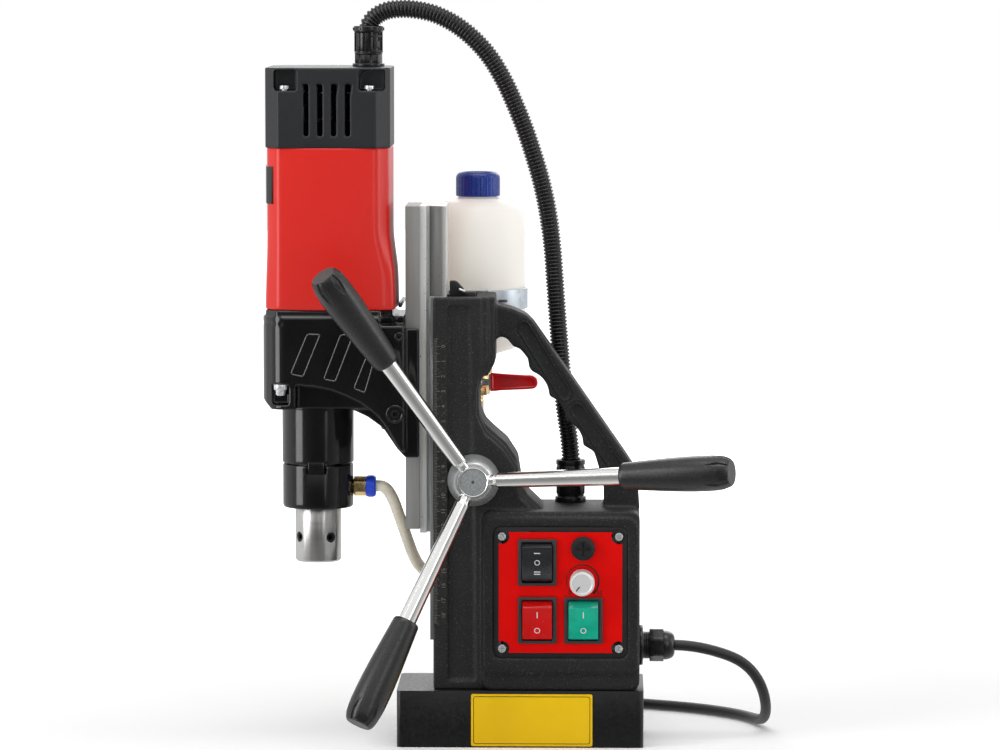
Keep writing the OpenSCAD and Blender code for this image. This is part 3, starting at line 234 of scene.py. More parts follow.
def filleted(points, r, steps=4):
    """A polygon's outline with its corners rounded."""
    out = []
    n = len(points)
    for i in range(n):
        a, p, b = (Vector(points[(i + k - 1) % n]) for k in range(3))
        cut = min(r, (p - a).length / 2.2, (b - p).length / 2.2)
        start, end = p + (a - p).normalized() * cut, p + (b - p).normalized() * cut
        for k in range(steps + 1):
            t = k / steps
            out.append(tuple(start * (1 - t) ** 2 + p * 2 * t * (1 - t) + end * t * t))
    return out


def ease(value, start, span=60):
    """Rises smoothly from 0 to 1 over span."""
    t = min(1.0, max(0.0, (value - start) / span))
    return t * t * (3 - 2 * t)


def smooth_route(points, step):
    """Points about step apart on a smooth line through the given ones."""
    line = [Vector(p) for p in points]
    out = []
    for i in range(len(line) - 1):
        a, b = line[i], line[i + 1]
        ta = (b - line[i - 1]) / 2 if i else b - a
        tb = (line[i + 2] - a) / 2 if i + 2 < len(line) else b - a
        n = max(1, round((b - a).length / step))
        for k in range(n):
            t = k / n
            near = a * (2 * t**3 - 3 * t**2 + 1) + ta * (t**3 - 2 * t**2 + t)
            out.append(near + b * (3 * t**2 - 2 * t**3) + tb * (t**3 - t**2))
    return out + [line[-1]]


def even(points, step):
    """The same line with its points step apart."""
    out = [points[0]]
    left = step
    for a, b in zip(points, points[1:]):
        span = (b - a).length
        done = 0.0
        while span - done >= left:
            done += left
            out.append(a.lerp(b, done / span))
            left = step
        left -= span - done
    return out + [points[-1]]


def linked(name, data):
    obj = bpy.data.objects.new(name, data)
    scene.collection.objects.link(obj)
    return obj


def righted(mesh, weld=None, bevel=0.0, segments=2):
    """Turns a mesh's faces outwards, after a weld if asked, and rounds its edges by bevel millimetres."""
    bm = bmesh.new()
    bm.from_mesh(mesh)
    if weld:
        bmesh.ops.remove_doubles(bm, verts=bm.verts, dist=weld)
    bmesh.ops.recalc_face_normals(bm, faces=bm.faces)
    if bevel:
        limit = math.radians(28)
        edges = [e for e in bm.edges if len(e.link_faces) == 2 and e.calc_face_angle(0) > limit]
        round_off = {"segments": segments, "profile": 0.5, "affect": "EDGES", "clamp_overlap": True}
        bmesh.ops.bevel(bm, geom=edges, offset=bevel * MM, **round_off)
    bm.to_mesh(mesh)
    bm.free()
    return mesh


def shaded(mesh, look, angle):
    mesh.shade_smooth()
    mesh.set_sharp_from_angle(angle=math.radians(angle))
    mesh.materials.clear()
    mesh.materials.append(look)


def piece(name, source, look, body, bevel=0.0, segments=2, angle=32, replaces=None):
    """A mesh object with its edges rounded, its look, and the body that carries it.

    source is a Shape or a mesh. A piece named after a CAD node gets _form after its name and stands for that
    node, unless replaces lists others.
    """
    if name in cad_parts:
        replaces = replaces or [name]
        name += "_form"
    made = source.mesh(name) if isinstance(source, Shape) else source
    made.name = name
    shaded(righted(made, None, bevel, segments), look, angle)
    obj = linked(name, made)
    if body:
        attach(obj, body)
    if replaces:
        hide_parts(*replaces)
    return obj


def applied(source, *modifiers):
    """A mesh with modifiers applied. Each modifier is (type, {settings})."""
    obj = linked("work", source)
    for kind, settings in modifiers:
        modifier = obj.modifiers.new(kind, kind)
        for key, value in settings.items():
            setattr(modifier, key, value)
    bpy.context.view_layer.update()
    result = bpy.data.meshes.new_from_object(obj.evaluated_get(bpy.context.evaluated_depsgraph_get()))
    bpy.data.objects.remove(obj)
    return result


def carved(source, knife, *later, **settings):
    """A mesh less the knife Shape, with the later modifiers applied to what is left."""
    knife_object = linked("knife", righted(knife.mesh("knife")))
    cut = {"operation": "DIFFERENCE", "solver": "EXACT", "object": knife_object, **settings}
    result = applied(source, ("BOOLEAN", cut), *later)
    bpy.data.objects.remove(knife_object)
    return result


def remelt(node, extra, knife, voxel, rounds):
    """A CAD node and an extra Shape, less the knife Shape, worked into one cast form with soft edges."""
    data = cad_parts[node].data
    whole = Shape().add([v.co / MM for v in data.vertices], [list(p.vertices) for p in data.polygons])
    whole.join(extra)
    melt = ("REMESH", {"mode": "VOXEL", "voxel_size": voxel * MM})
    smooth = ("SMOOTH", {"factor": 0.5, "iterations": rounds})
    return carved(righted(whole.mesh("whole"), 1e-6), knife, melt, smooth, use_self=True)


# A capital's height as a share of the font's size
CAPITAL = 0.7


def words(text, size, at, thick=0.12, turn=0):
    """Flat characters as a Shape, size millimetres high, centred, drawn in the local XY plane."""
    data = bpy.data.curves.new("words", "FONT")
    data.body = text
    data.size = size / CAPITAL
    data.align_x = "CENTER"
    data.align_y = "CENTER"
    data.extrude = thick
    data.resolution_u = 3
    obj = linked("words", data)
    bpy.context.view_layer.update()
    made = bpy.data.meshes.new_from_object(obj)
    bpy.data.objects.remove(obj)
    local = at @ Matrix.Rotation(math.radians(turn), 4, "Z")
    return Shape().add([v.co for v in made.vertices], [list(p.vertices) for p in made.polygons], local)


# ---------------------------------------------------------------- materials


def put(socket, value):
    """Links a node's output into a socket, or writes a value. A colour may come without its fourth number."""
    if isinstance(value, bpy.types.NodeSocket):
        socket.id_data.links.new(value, socket)
    else:
        socket.default_value = (*value, 1) if socket.type == "RGBA" and len(value) == 3 else value


class Graph:
    """A short way to write nodes."""

    def __init__(self, owner):
        owner.use_nodes = True
        self.tree = owner.node_tree
        self.tree.nodes.clear()

    def node(self, kind, inputs=None, **settings):
        made = self.tree.nodes.new("ShaderNode" + kind)
        for key, value in settings.items():
            setattr(made, key, value)
        for key, value in (inputs or {}).items():
            put(made.inputs[key], value)
        return made

    def range(self, value, low, high, start=0.3, end=0.7):
        return self.node("MapRange", {0: value, 1: start, 2: end, 3: low, 4: high}, clamp=True).outputs[0]

    def math(self, operation, a, b):
        return self.node("Math", {0: a, 1: b}, operation=operation).outputs[0]


class Nodes(Graph):
    """A material's nodes."""

    def __init__(self, name):
        self.look = bpy.data.materials.new(name)
        super().__init__(self.look)
        self.shader = self.node("BsdfPrincipled")
        self.node("OutputMaterial", {0: self.shader.outputs[0]})
        self.where = self.node("TexCoord").outputs["Object"]

    def noise(self, size, detail=2.0, stretch=None, rough=0.5):
        """Noise whose marks are about size millimetres across."""
        where = self.where
        if stretch:
            where = self.node("Mapping", {"Vector": where, "Scale": stretch}).outputs[0]
        inputs = {"Vector": where, "Scale": 1000 / size / 2, "Detail": detail, "Roughness": rough}
        return self.node("TexNoise", inputs).outputs["Fac"]

    def mix(self, share, a, b):
        return self.node("Mix", {0: share, 6: a, 7: b}, data_type="RGBA").outputs[2]

    def mix_number(self, share, a, b):
        return self.node("Mix", {0: share, 2: a, 3: b}, data_type="FLOAT").outputs[0]

    def facing(self, axis):
        """The surface normal's part along an axis of the world."""
        return self.node("SeparateXYZ", {0: self.node("NewGeometry").outputs["Normal"]}).outputs[axis]

    def set(self, **sockets):
        for key, value in sockets.items():
            put(self.shader.inputs[key.replace("_", " ")], value)

    def bump(self, height, depth, strength=1.0):
        """Bump of the given depth in millimetres."""
        inputs = {"Height": height, "Distance": depth * MM, "Strength": strength}
        if self.shader.inputs["Normal"].is_linked:
            inputs["Normal"] = self.shader.inputs["Normal"].links[0].from_socket
        put(self.shader.inputs["Normal"], self.node("Bump", inputs).outputs[0])


def look(name, colour, rough, metal=0.0, vary=0.12, patch=12, grain=0.6, depth=0.02, rough_vary=0.08, **more):
    """A material whose colour varies in patches, with fine grain in its surface and roughness."""
    n = Nodes(name)
    low = tuple(c * (1 - vary) for c in colour)
    high = tuple(min(1, c * (1 + vary)) for c in colour)
    fine = n.noise(grain, 3)
    broad = n.noise(patch, 4)
    n.set(Base_Color=n.mix(n.range(broad, 0, 1), low, high), Metallic=metal)
    n.set(Roughness=n.range(fine, max(0.02, rough - rough_vary), min(1, rough + rough_vary)), **more)
    n.bump(fine, depth)
    return n.look


def layered(name, build, **sockets):
    """A material with nodes of its own, which build adds."""
    n = Nodes(name)
    n.set(**sockets)
    build(n)
    return n.look


def powder(n):
    """Black powder coat: small pebbles, a few paler specks, duller in the hollows."""
    fine = n.noise(0.55, 3, rough=0.65)
    pebble = n.node("TexVoronoi", {"Vector": n.where, "Scale": 1100.0, "Randomness": 1.0}).outputs["Distance"]
    specks = n.range(n.noise(0.5, 2), 0, 1, 0.6, 0.72)
    broad = n.range(n.noise(30, 3), 0.0, 1.0)
    dark = n.mix(broad, (0.0052, 0.0055, 0.006), (0.0098, 0.01, 0.0106))
    n.set(Base_Color=n.mix(specks, dark, (0.065, 0.065, 0.067)), Roughness=n.range(fine, 0.48, 0.7))
    n.bump(pebble, 0.28, 0.6)
    n.bump(fine, 0.22, 0.7)


def gloss_casting(n):
    """Gloss black paint over a casting: nearly smooth, with a slow ripple and a few pin marks."""
    pits = n.range(n.noise(0.9, 2), 0, 1, 0.72, 0.8)
    n.set(Base_Color=n.mix(n.range(n.noise(14, 3), 0, 1), (0.0032, 0.0034, 0.0038), (0.0062, 0.0064, 0.007)))
    n.set(Roughness=n.range(n.noise(5, 3), 0.10, 0.17))
    n.bump(n.noise(9, 2), 0.035, 0.6)
    n.bump(pits, -0.05)


def base_steel(n):
    """Black paint on the magnet's sides and top and ground bare steel on its underside."""
    bare = n.math("LESS_THAN", n.facing(2), -0.9)
    lines = n.noise(0.5, 3, (0.04, 1.0, 1.0))
    paint = n.mix(n.range(n.noise(16, 4), 0, 1), (0.0035, 0.0037, 0.0042), (0.0065, 0.0067, 0.0072))
    metal = n.mix(n.range(lines, 0, 1), (0.34, 0.345, 0.35), (0.56, 0.565, 0.57))
    n.set(Base_Color=n.mix(bare, paint, metal), Metallic=n.math("MULTIPLY", bare, 0.75))
    n.set(Roughness=n.mix_number(bare, n.range(n.noise(1.2, 3), 0.34, 0.5), n.range(lines, 0.3, 0.5)))
    n.bump(n.noise(0.8, 3), 0.05, 0.6)
    n.bump(n.math("MULTIPLY", bare, lines), 0.02)


def machined(n, colour, stretch, size=0.5, low=0.2, high=0.42, spread=0.16, depth=0.012, metal=1.0):
    """Bare steel with tool lines along one direction."""
    lines = n.noise(size, 4, stretch)
    broad = n.noise(25, 3)
    pale = tuple(min(1, c * (1 + spread)) for c in colour)
    deep = tuple(c * (1 - spread) for c in colour)
    n.set(Base_Color=n.mix(n.range(lines, 0, 1), deep, pale), Metallic=metal)
    n.set(Roughness=n.math("ADD", n.range(lines, low, high), n.range(broad, -0.05, 0.06)))
    n.bump(lines, depth)


def tooled(name, *details, **more):
    """A machined material."""
    return layered(name, lambda n: machined(n, *details, **more))


def milled_slide(n):
    """Milled steel, pale on its square faces, with painted shade that darkens the dovetail's slanted sides by
    the way they face, and a few dark pits.
    """
    machined(n, (0.64, 0.645, 0.625), (1, 1, 0.02), 0.4, 0.34, 0.5, 0.07, metal=0.3)
    pale = n.shader.inputs["Base Color"].links[0].from_socket
    across = n.math("ABSOLUTE", n.facing(0), 0.0)
    # Painted shade: faces that slant sideways, the dovetail's slanted sides, are given a much darker colour
    flank_shade = n.math("MULTIPLY", n.range(across, 0, 1, 0.2, 0.35), n.range(across, 1, 0, 0.6, 0.75))
    pits = n.range(n.noise(0.9, 2), 0, 1, 0.70, 0.74)
    n.set(Base_Color=n.mix(pits, n.mix(flank_shade, pale, (0.105, 0.107, 0.103)), (0.04, 0.04, 0.04)))


def galvanised(n):
    """Zinc crystals a few millimetres across."""
    cells = n.node("TexVoronoi", {"Vector": n.where, "Scale": 260.0}).outputs["Color"]
    value = n.node("SeparateColor", {0: cells}).outputs[0]
    n.set(Base_Color=n.mix(value, (0.50, 0.56, 0.62), (0.66, 0.71, 0.76)))
    n.set(Roughness=n.range(value, 0.32, 0.5, 0, 1))
    n.bump(n.noise(1.0, 3), 0.02)


def milky(n):
    """Thin natural polyethylene: light passes, with a soft skin and faint flow marks."""
    cloud = n.noise(22, 3, (1, 1, 0.35))
    n.set(Base_Color=n.mix(n.range(cloud, 0, 1), (0.90, 0.865, 0.79), (0.95, 0.925, 0.87)))
    n.set(Roughness=n.range(n.noise(2, 3), 0.34, 0.5))
    n.bump(n.noise(1.1, 3), 0.02)


# Steels and castings
POWDER = layered("powder_coat", powder, Specular_IOR_Level=0.42)
CASTING = layered("gloss_casting", gloss_casting, Specular_IOR_Level=0.5)
BASE = layered("magnet_paint", base_steel)
SLIDE = layered("milled_slide", milled_slide)
PLATE = tooled("head_plate_steel", (0.23, 0.23, 0.222), (1, 1, 0.03), 0.4, 0.38, 0.55, 0.07, metal=0.2)
GUIDE = tooled("guide_steel", (0.55, 0.58, 0.6), (1, 1, 0.02), 0.4, 0.24, 0.4)
ARBOR = tooled("ground_arbor", (0.60, 0.595, 0.585), (0.02, 0.02, 1.0), 0.5, 0.32, 0.4, 0.025, 0.0006)
SPUN = tooled("spun_hub", (0.66, 0.67, 0.67), (1, 0.05, 1), 0.3, 0.26, 0.34, 0.04, 0.001, 0.85)
KNOB = tooled("knob_alloy", (0.72, 0.725, 0.72), (1, 1, 1), 0.5, 0.26, 0.32, 0.01, 0.001, 0.3)
CHROME = look("chrome_rod", (0.86, 0.86, 0.84), 0.13, 1.0, vary=0.03, grain=0.9, depth=0.006, rough_vary=0.05)
RIM = look("bright_rim", (0.88, 0.88, 0.86), 0.16, 1.0, vary=0.04, grain=0.5, depth=0.006)
GRAINED = look("grained_face", (0.36, 0.38, 0.39), 0.34, 0.5, 0.22, 0.8, 0.5, rough_vary=0.1)
ZINC = look("zinc_screw", (0.74, 0.75, 0.76), 0.26, 0.65, vary=0.08, patch=2, grain=0.3, depth=0.01)
STEEL = look("plain_steel", (0.44, 0.445, 0.45), 0.34, 1.0, vary=0.1, patch=6)
DARK_STEEL = look("dark_steel", (0.13, 0.13, 0.135), 0.36, 1.0, vary=0.15, patch=5)
BLACKED = look("blackened_steel", (0.02, 0.02, 0.022), 0.38, 0.6, vary=0.2, patch=3)
ZINC_SHEET = layered("galvanised_sheet", galvanised, Metallic=0.85)
BRASS = look("turned_brass", (0.78, 0.58, 0.27), 0.28, 1.0, patch=4, grain=0.5, depth=0.012)
COPPER = look("copper_winding", (0.46, 0.17, 0.07), 0.4, 0.8, vary=0.2, patch=1.2)
BRONZE = look("sintered_bronze", (0.40, 0.25, 0.09), 0.42, 1.0, vary=0.15, patch=1.5)
EDGE = look(
    "gloss_edge", (0.012, 0.012, 0.013), 0.1, vary=0.1, patch=6, grain=0.8, depth=0.004, rough_vary=0.03,
    Specular_IOR_Level=0.9, IOR=1.75,
)

# Plastics, paint and print
RED_SHELL = look(
    "red_shell", (0.56, 0.011, 0.006), 0.3, vary=0.03, patch=60, grain=0.7, depth=0.004, rough_vary=0.02,
    Specular_IOR_Level=0.42,
)
COVER = look("cover_plastic", (0.0140, 0.0148, 0.0168), 0.46, patch=20, grain=0.5, Specular_IOR_Level=0.4)
GRIP = look("grip_plastic", (0.011, 0.011, 0.0115), 0.33, vary=0.16, patch=14, grain=0.8, depth=0.012)
GRIP_END = look("grip_end", (0.05, 0.049, 0.048), 0.5, vary=0.2, patch=2.5, grain=0.5, depth=0.03)
BLACK = look("black_plastic", (0.012, 0.012, 0.013), 0.4, vary=0.15, patch=6, grain=0.5)
FRAME = look("switch_frame", (0.03, 0.031, 0.034), 0.5, vary=0.08, patch=5, grain=0.35)
NYLON = look("black_nylon", (0.008, 0.008, 0.009), 0.28, vary=0.15, patch=5, grain=1.6, depth=0.008)
RUBBER = look("rubber_sheath", (0.011, 0.011, 0.012), 0.48, vary=0.15, patch=9, depth=0.03)
TIE = look("woven_tie", (0.02, 0.02, 0.022), 0.9, vary=0.35, patch=1.0, grain=0.5, depth=0.12)
OVERLAY = look("red_film", (0.69, 0.002, 0.001), 0.42, 0, 0.05, 25, 0.4, 0.01, Specular_IOR_Level=0.06)
YELLOW = look("yellow_plate", (0.84, 0.53, 0.0025), 0.40, 0, 0.03, 18, 0.5, 0.008, Specular_IOR_Level=0.2)
INK = look("black_print", (0.008, 0.008, 0.008), 0.45, vary=0.2, patch=3, grain=0.4, depth=0.003)
PALE = look("pale_print", (0.66, 0.66, 0.66), 0.5, vary=0.1, patch=2, grain=0.4, depth=0.003)
SCALE_INK = look("scale_print", (0.15, 0.135, 0.115), 0.55, vary=0.25, patch=2, grain=0.4, depth=0.003)
ROCKER_BLACK = look("rocker_black", (0.016, 0.017, 0.019), 0.33, vary=0.1, patch=6, grain=0.5, depth=0.012)
ROCKER_RED = look(
    "rocker_red", (0.70, 0.004, 0.004), 0.2, patch=5, grain=0.8,
    Specular_IOR_Level=0.3, Transmission_Weight=0.25, IOR=1.45,
)
ROCKER_GREEN = look(
    "rocker_green", (0.004, 0.50, 0.33), 0.18, patch=5, grain=0.8, Transmission_Weight=0.3, IOR=1.45
)
BLUE = look("blue_cap", (0.010, 0.034, 0.24), 0.24, vary=0.08, patch=7, Specular_IOR_Level=0.4)
BLUE_RING = look("blue_ring", (0.012, 0.06, 0.62), 0.3, vary=0.08, patch=4, grain=0.5, depth=0.01)
LEVER = look("red_dip", (0.86, 0.012, 0.018), 0.17, vary=0.08, patch=6, grain=1.2, depth=0.03)
RESIN = look("cast_resin", (0.09, 0.04, 0.02), 0.5, vary=0.25, patch=6)
BOARD = look("circuit_board", (0.01, 0.10, 0.035), 0.4, vary=0.2, patch=4)
SCATTER = {"Subsurface_Radius": (1.0, 0.85, 0.65)}
# The warm emission is a painted glow, standing in for light from behind that passes through the bottle's thin
# walls
BOTTLE = layered(
    "milky_bottle", milky, Subsurface_Weight=0.4, Subsurface_Scale=0.012, **SCATTER,
    Emission_Color=(1.0, 0.95, 0.87), Emission_Strength=0.14,
)
HOSE = look(
    "milky_hose", (0.80, 0.755, 0.64), 0.3, vary=0.05, grain=1.0,
    Subsurface_Weight=0.5, Subsurface_Scale=0.006, **SCATTER,
)

# The CAD nodes that stay, by look, and how far their edges are rounded
NODE_LOOKS = {
    BASE: ["magnet_body"],
    RESIN: ["coil_potting"],
    BLACKED: ["base_screws", "slide_screws"],
    POWDER: ["ruler"],
    GUIDE: ["gib_strips"],
    BRONZE: ["capstan_bushes", "brush_gear"],
    BLACK: ["panel_plate", "rear_cover", "fuse_holder", "fuse_cap", "cooling_fan"],
    OVERLAY: ["panel_overlay"],
    ZINC: ["box_screws", "cover_screws", "potentiometer"],
    BOARD: ["control_board"],
    DARK_STEEL: ["rack", "spindle_wheel", "countershaft"],
    STEEL: ["ball_bearings", "capstan_shaft", "armature"],
    COPPER: ["magnet_coils", "stator"],
    ARBOR: ["arbor"],
    CHROME: ["spokes"],
    FRAME: ["switch_bodies"],
}
for material, names in NODE_LOOKS.items():
    for name in names:
        shaded(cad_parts[name].data, material, 32)
SOFT_EDGES = {
    "magnet_body": 0.7, "panel_plate": 0.4, "switch_bodies": 0.5, "rear_cover": 0.5, "fuse_holder": 0.4,
    "fuse_cap": 0.4, "box_screws": 0.3, "cover_screws": 0.4, "gib_strips": 0.25, "arbor": 0.25,
}
for name, width in SOFT_EDGES.items():
    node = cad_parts[name]
    node.modifiers.new("weld", "WELD").merge_threshold = 2e-6
    bevel = node.modifiers.new("edges", "BEVEL")
    bevel.width = width * MM
    bevel.segments = 2
    bevel.limit_method = "ANGLE"
    bevel.angle_limit = math.radians(30)
    bevel.harden_normals = True
    bevel.use_clamp_overlap = True


def recut(name, material, body, width):
    """A CAD node as a clean mesh with its flat faces whole and its edges eased."""
    made = bpy.data.meshes.new("recut")
    bm = bmesh.new()
    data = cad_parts[name].data
    points = [bm.verts.new(v.co) for v in data.vertices]
    for face in data.polygons:
        bm.faces.new([points[i] for i in face.vertices])
    bmesh.ops.remove_doubles(bm, verts=bm.verts, dist=2e-6)
    bmesh.ops.dissolve_limit(bm, angle_limit=math.radians(1), verts=bm.verts, edges=bm.edges)
    bm.to_mesh(made)
    bm.free()
    piece(name, made, material, body, width, angle=30)


recut("dovetail_slide", SLIDE, "carriage", 0.35)
recut("head_plate", PLATE, "carriage", 0.45)

# ---------------------------------------------------------------- cords and hoses


CONDUIT_D = 12.7
CONDUIT = [
    (33, 24, 183.8), (33, 24, 190), (31.6, 24, 204), (29, 24, 222), (27.5, 24, 241), (25.8, 24, 261),
    (24, 24, 284), (22.4, 23.5, 306), (20.6, 22.5, 330), (17.7, 20, 353), (13.6, 17.5, 373), (8.2, 15, 392),
    (2.2, 13, 410), (-4.6, 11, 427), (-12, 9, 443), (-21, 7, 458), (-31.5, 5, 470), (-44, 3, 480),
    (-58, 1.5, 487), (-72, 0.5, 490), (-83, 0, 490.2), (-91, 0, 488.6), (-97, 0, 485.2), (-100.6, 0, 481),
    (-101.8, 0, 477.4), (-101.8, 0, 474.5),
]
HOSE_LINE = [
    (-30.7, 67, 221), (-30.7, 67, 212), (-31, 66.6, 198), (-32, 65.5, 182), (-34, 63.5, 165),
    (-37, 61, 148), (-41.5, 58, 132), (-47, 54.5, 119), (-53.5, 51, 110), (-60, 47.5, 106.5),
    (-66, 43.5, 108), (-70.6, 38.5, 113), (-74.2, 32.5, 121), (-77.3, 26, 131), (-80.2, 19.5, 141),
    (-83.2, 13.2, 151), (-86, 7.6, 160), (-89.6, 2.8, 167.4), (-93.4, 0, 170.7), (-97.9, 0, 170.7),
]
CORD_D = 7.2
CORD_LINE = [
    (100, 0, 63.5), (106, 0, 63.5), (115, 0, 62.7), (124, 0.6, 61), (134.4, 2, 58), (144.6, 4, 53.8),
    (152.8, 7, 47.8), (159, 11, 39.8), (163, 16, 31), (165.2, 23, 22), (165.8, 32, 14), (164.8, 43, 7.8),
    (162, 55, 4.6), (157, 68, 3.7), (149, 81, 3.7), (138.4, 93, 3.7), (126, 104, 3.7), (111, 114, 3.7),
    (96, 122, 3.7), (80, 129.6, 3.7), (64, 138, 3.7), (48.4, 146.7, 3.7),
]
COIL = (22, 101)
COIL_START = 60
COIL_OUT = 52.8
# Where each layer of the coil changes to its next radius, in degrees from its start, over 60 degrees
STEPS_IN = (300, 660, 1020)
STEPS_OUT = (1560, 1920, 2280)
RISE_AT = 1260
COIL_END = 2605


def coil_points():
    """The coil: inwards on the floor, up by one cord, and outwards again on top."""
    points = []
    for k in range(0, COIL_END + 1, 5):
        r = COIL_OUT - CORD_D * (sum(ease(k, s) for s in STEPS_IN) - sum(ease(k, s) for s in STEPS_OUT))
        turn = math.radians(COIL_START + k)
        height = 3.7 + CORD_D * ease(k, RISE_AT)
        points.append(Vector((COIL[0] + r * math.cos(turn), COIL[1] + r * math.sin(turn), height)))
    return points


# The cord runs into the coil, round it and out to the plug, whose axis is the local X
PLUG = place(*COIL, 0.1, [("Z", 145)]) @ place(COIL_OUT, about=[("Z", 90)])
PLUG_AXIS = 11
lead_out = [PLUG @ Vector((x, 0, 10.8 + 0.2 * x / 30)) for x in range(5, 36, 5)]
cord_route = even(smooth_route(CORD_LINE, 4)[:-1] + coil_points() + lead_out, 4)
cord_shape = Shape().tube(cord_route, CORD_D / 2, 14)
cord = piece("mains_cord", cord_shape, RUBBER, "stand", replaces=["mains_cord", "cord_coil"])

# Each ring of the plug: its place along the cord, its width, its height and its corners' radius
plug_rings = [
    (44, 15, 14, 6.9), (45.5, 18, 16, 7.5), (49, 24, 18.6, 7), (54, 28.4, 20.6, 6), (60, 29.6, 21.6, 5),
    (75, 29.6, 21.6, 5), (77.2, 29, 21, 5), (78, 27.4, 19.4, 5),
]
plug_body = Shape().loft(
    [[(x, y, PLUG_AXIS + z) for y, z in rounded(wide, high, r, 5)] for x, wide, high, r in plug_rings], PLUG
)
for side in (-1, 1):
    for k in range(4):
        x = 56 + k * 4.4
        plug_body.box((x, side * 14.9 - 0.6, 4), (x + 1.8, side * 14.9 + 0.6, 18), PLUG)
plug = piece("mains_plug", plug_body, NYLON, "stand", 0.35)
# Tapered relief with grooves between its ribs, from the cord into the plug
relief = [(3.7, 15.4)]
for k in range(8):
    x = 16 + k * 3.5
    r = 4.5 + 0.32 * k
    relief += [(r, x), (r + 0.12, x + 2.3), (r - 0.75, x + 2.5), (r - 0.65, x + 3.3)]
relief += [(7.2, 44), (7.4, 46)]
relief = Shape().lathe(relief, PLUG @ place(z=PLUG_AXIS, about=[("Y", 90)]), 32)
plug_relief = piece("plug_relief", relief, RUBBER, "stand")
pins, sleeves = Shape(), Shape()
for side in (-1, 1):
    axis = PLUG @ place(0, side * 9.5, PLUG_AXIS, [("Y", 90)])
    sleeves.lathe([(2.3, 77.6), (2.3, 87), (2.1, 87.2)], axis, 20)
    pins.lathe([(2.05, 87), (2.4, 87.4), (2.4, 95.4), (1.9, 96.6), (0.9, 97)], axis, 20)
plug_pins = piece("plug_pins", pins, ZINC, "stand")
plug_sleeves = piece("plug_sleeves", sleeves, NYLON, "stand")

# A hook-and-loop tie round the coil
tie_at = place(*COIL, 0, [("Z", -28)])
TIE_MIDDLE = (41.6, 8.0)
tie_in = rounded(29.4, 13.4, 2.4, 5, TIE_MIDDLE)
tie_shape = Shape().prism(rounded(31.4, 15.6, 3.4, 5, TIE_MIDDLE), -7, 7, tie_at @ NEAR, hole=tie_in)
tie_shape.prism(rounded(15, 12.4, 1.6, 4), 15.6, 16.5, tie_at @ place(44))
cord_tie = piece("cord_tie", tie_shape, TIE, "stand", 0.25)

# Each rib of the conduit is six points long, and its radius falls by these amounts
RIB = (1.05, 0.28, 0.0, 0.0, 0.28, 1.05)
PITCH = 2.45
conduit_line = even(smooth_route(CONDUIT, 1.0), PITCH / len(RIB))
conduit_radii = [CONDUIT_D / 2 - RIB[i % len(RIB)] for i in range(len(conduit_line))]
conduit_shape = Shape().tube(conduit_line, conduit_radii, 20)
conduit = piece("motor_conduit", conduit_shape, NYLON, None, angle=40)
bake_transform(conduit)
hose_line = even(smooth_route(HOSE_LINE, 1.5), 2.5)
hose = piece("coolant_hose", Shape().tube(hose_line, 4.0, 24), HOSE, None)
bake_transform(hose)

# ---------------------------------------------------------------- stand

SIDES = ((-1, NEAR), (1, FAR))


def both_sides(shape, outline, low, high):
    """The same prism on the near side and mirrored on the far side."""
    for _, flip in SIDES:
        shape.prism(outline, low, high, flip)


handle_recesses = [capsule(2, 278.5, 29.5, 234, 4.3), capsule(37.5, 224, 63.5, 186, 4.3)]
stand_knife = Shape()
# Shallow channels on both sides of the column, beside the scale, and the handle's recesses
channel = [
    (-48.3, 43.7), (-29.5, 43.7), (-29.9, 120), (-33.3, 291), (-35, 294.4), (-46.5, 294.4), (-48.3, 292.5),
]
for _, flip in SIDES:
    stand_knife.prism(channel, 31.0, 36, flip)
    for line in handle_recesses:
        stand_knife.prism(line, 11.9, 16, flip)
# The column's rear edge is narrower than the model's
rear_edge = [
    (-25.2, 247), (-27.6, 240), (-27.6, 226), (-26.9, 222), (-23.6, 215), (-13.6, 208.4), (-7, 200.4),
    (-2.3, 191), (-1.2, 184), (0.5, 172), (9, 172), (9, 210), (-8, 222), (-16, 247),
]
stand_knife.prism(rear_edge, -45, 45, NEAR)
stand_mesh = remelt("stand_casting", Shape(), stand_knife, 1.1, 5)
piece("stand_casting", stand_mesh, POWDER, "stand", angle=50)
lips = Shape()
for side, _ in SIDES:
    for line in handle_recesses:
        lips.tube([(x, side * 13.85, z) for x, z in line], 0.5, 8, closed=True)
piece("handle_lips", lips, POWDER, "stand", angle=60)

PLATE_MIDDLE = (7.8, 18.5)
plate_shape = Shape().prism(rounded(80.8, 35, 1.2, 3, PLATE_MIDDLE), 40.0, 40.55, NEAR)
piece("yellow_plate", plate_shape, YELLOW, "stand", 0.12)
border_in = rounded(77.0, 31.2, 1.3, 3, PLATE_MIDDLE)
border = Shape().prism(rounded(77.8, 32, 1.6, 3, PLATE_MIDDLE), 40.5, 40.62, NEAR, hole=border_in)
piece("plate_border", border, INK, "stand")

# Scale on the column: a line each millimetre, a longer one each 5 and 10, and a number each centimetre
SCALE_ZERO = 267.58
marks = Shape()
for k in range(191):
    height = SCALE_ZERO - k + 5
    if 72 < height < 273.0:
        reach = 4.1 if (k - 5) % 10 == 0 else 3.0 if k % 5 == 0 else 2.0
        marks.box((-57.3, height - 0.12, 33.38), (-57.3 + reach, height + 0.12, 33.47), NEAR)
for k in range(19):
    marks.join(words(str(k), 2.6, facing_near(-51.0, -33.42, SCALE_ZERO - 10 * k), 0.05, 90))
piece("scale_marks", marks, SCALE_INK, "stand")

# ---------------------------------------------------------------- glands

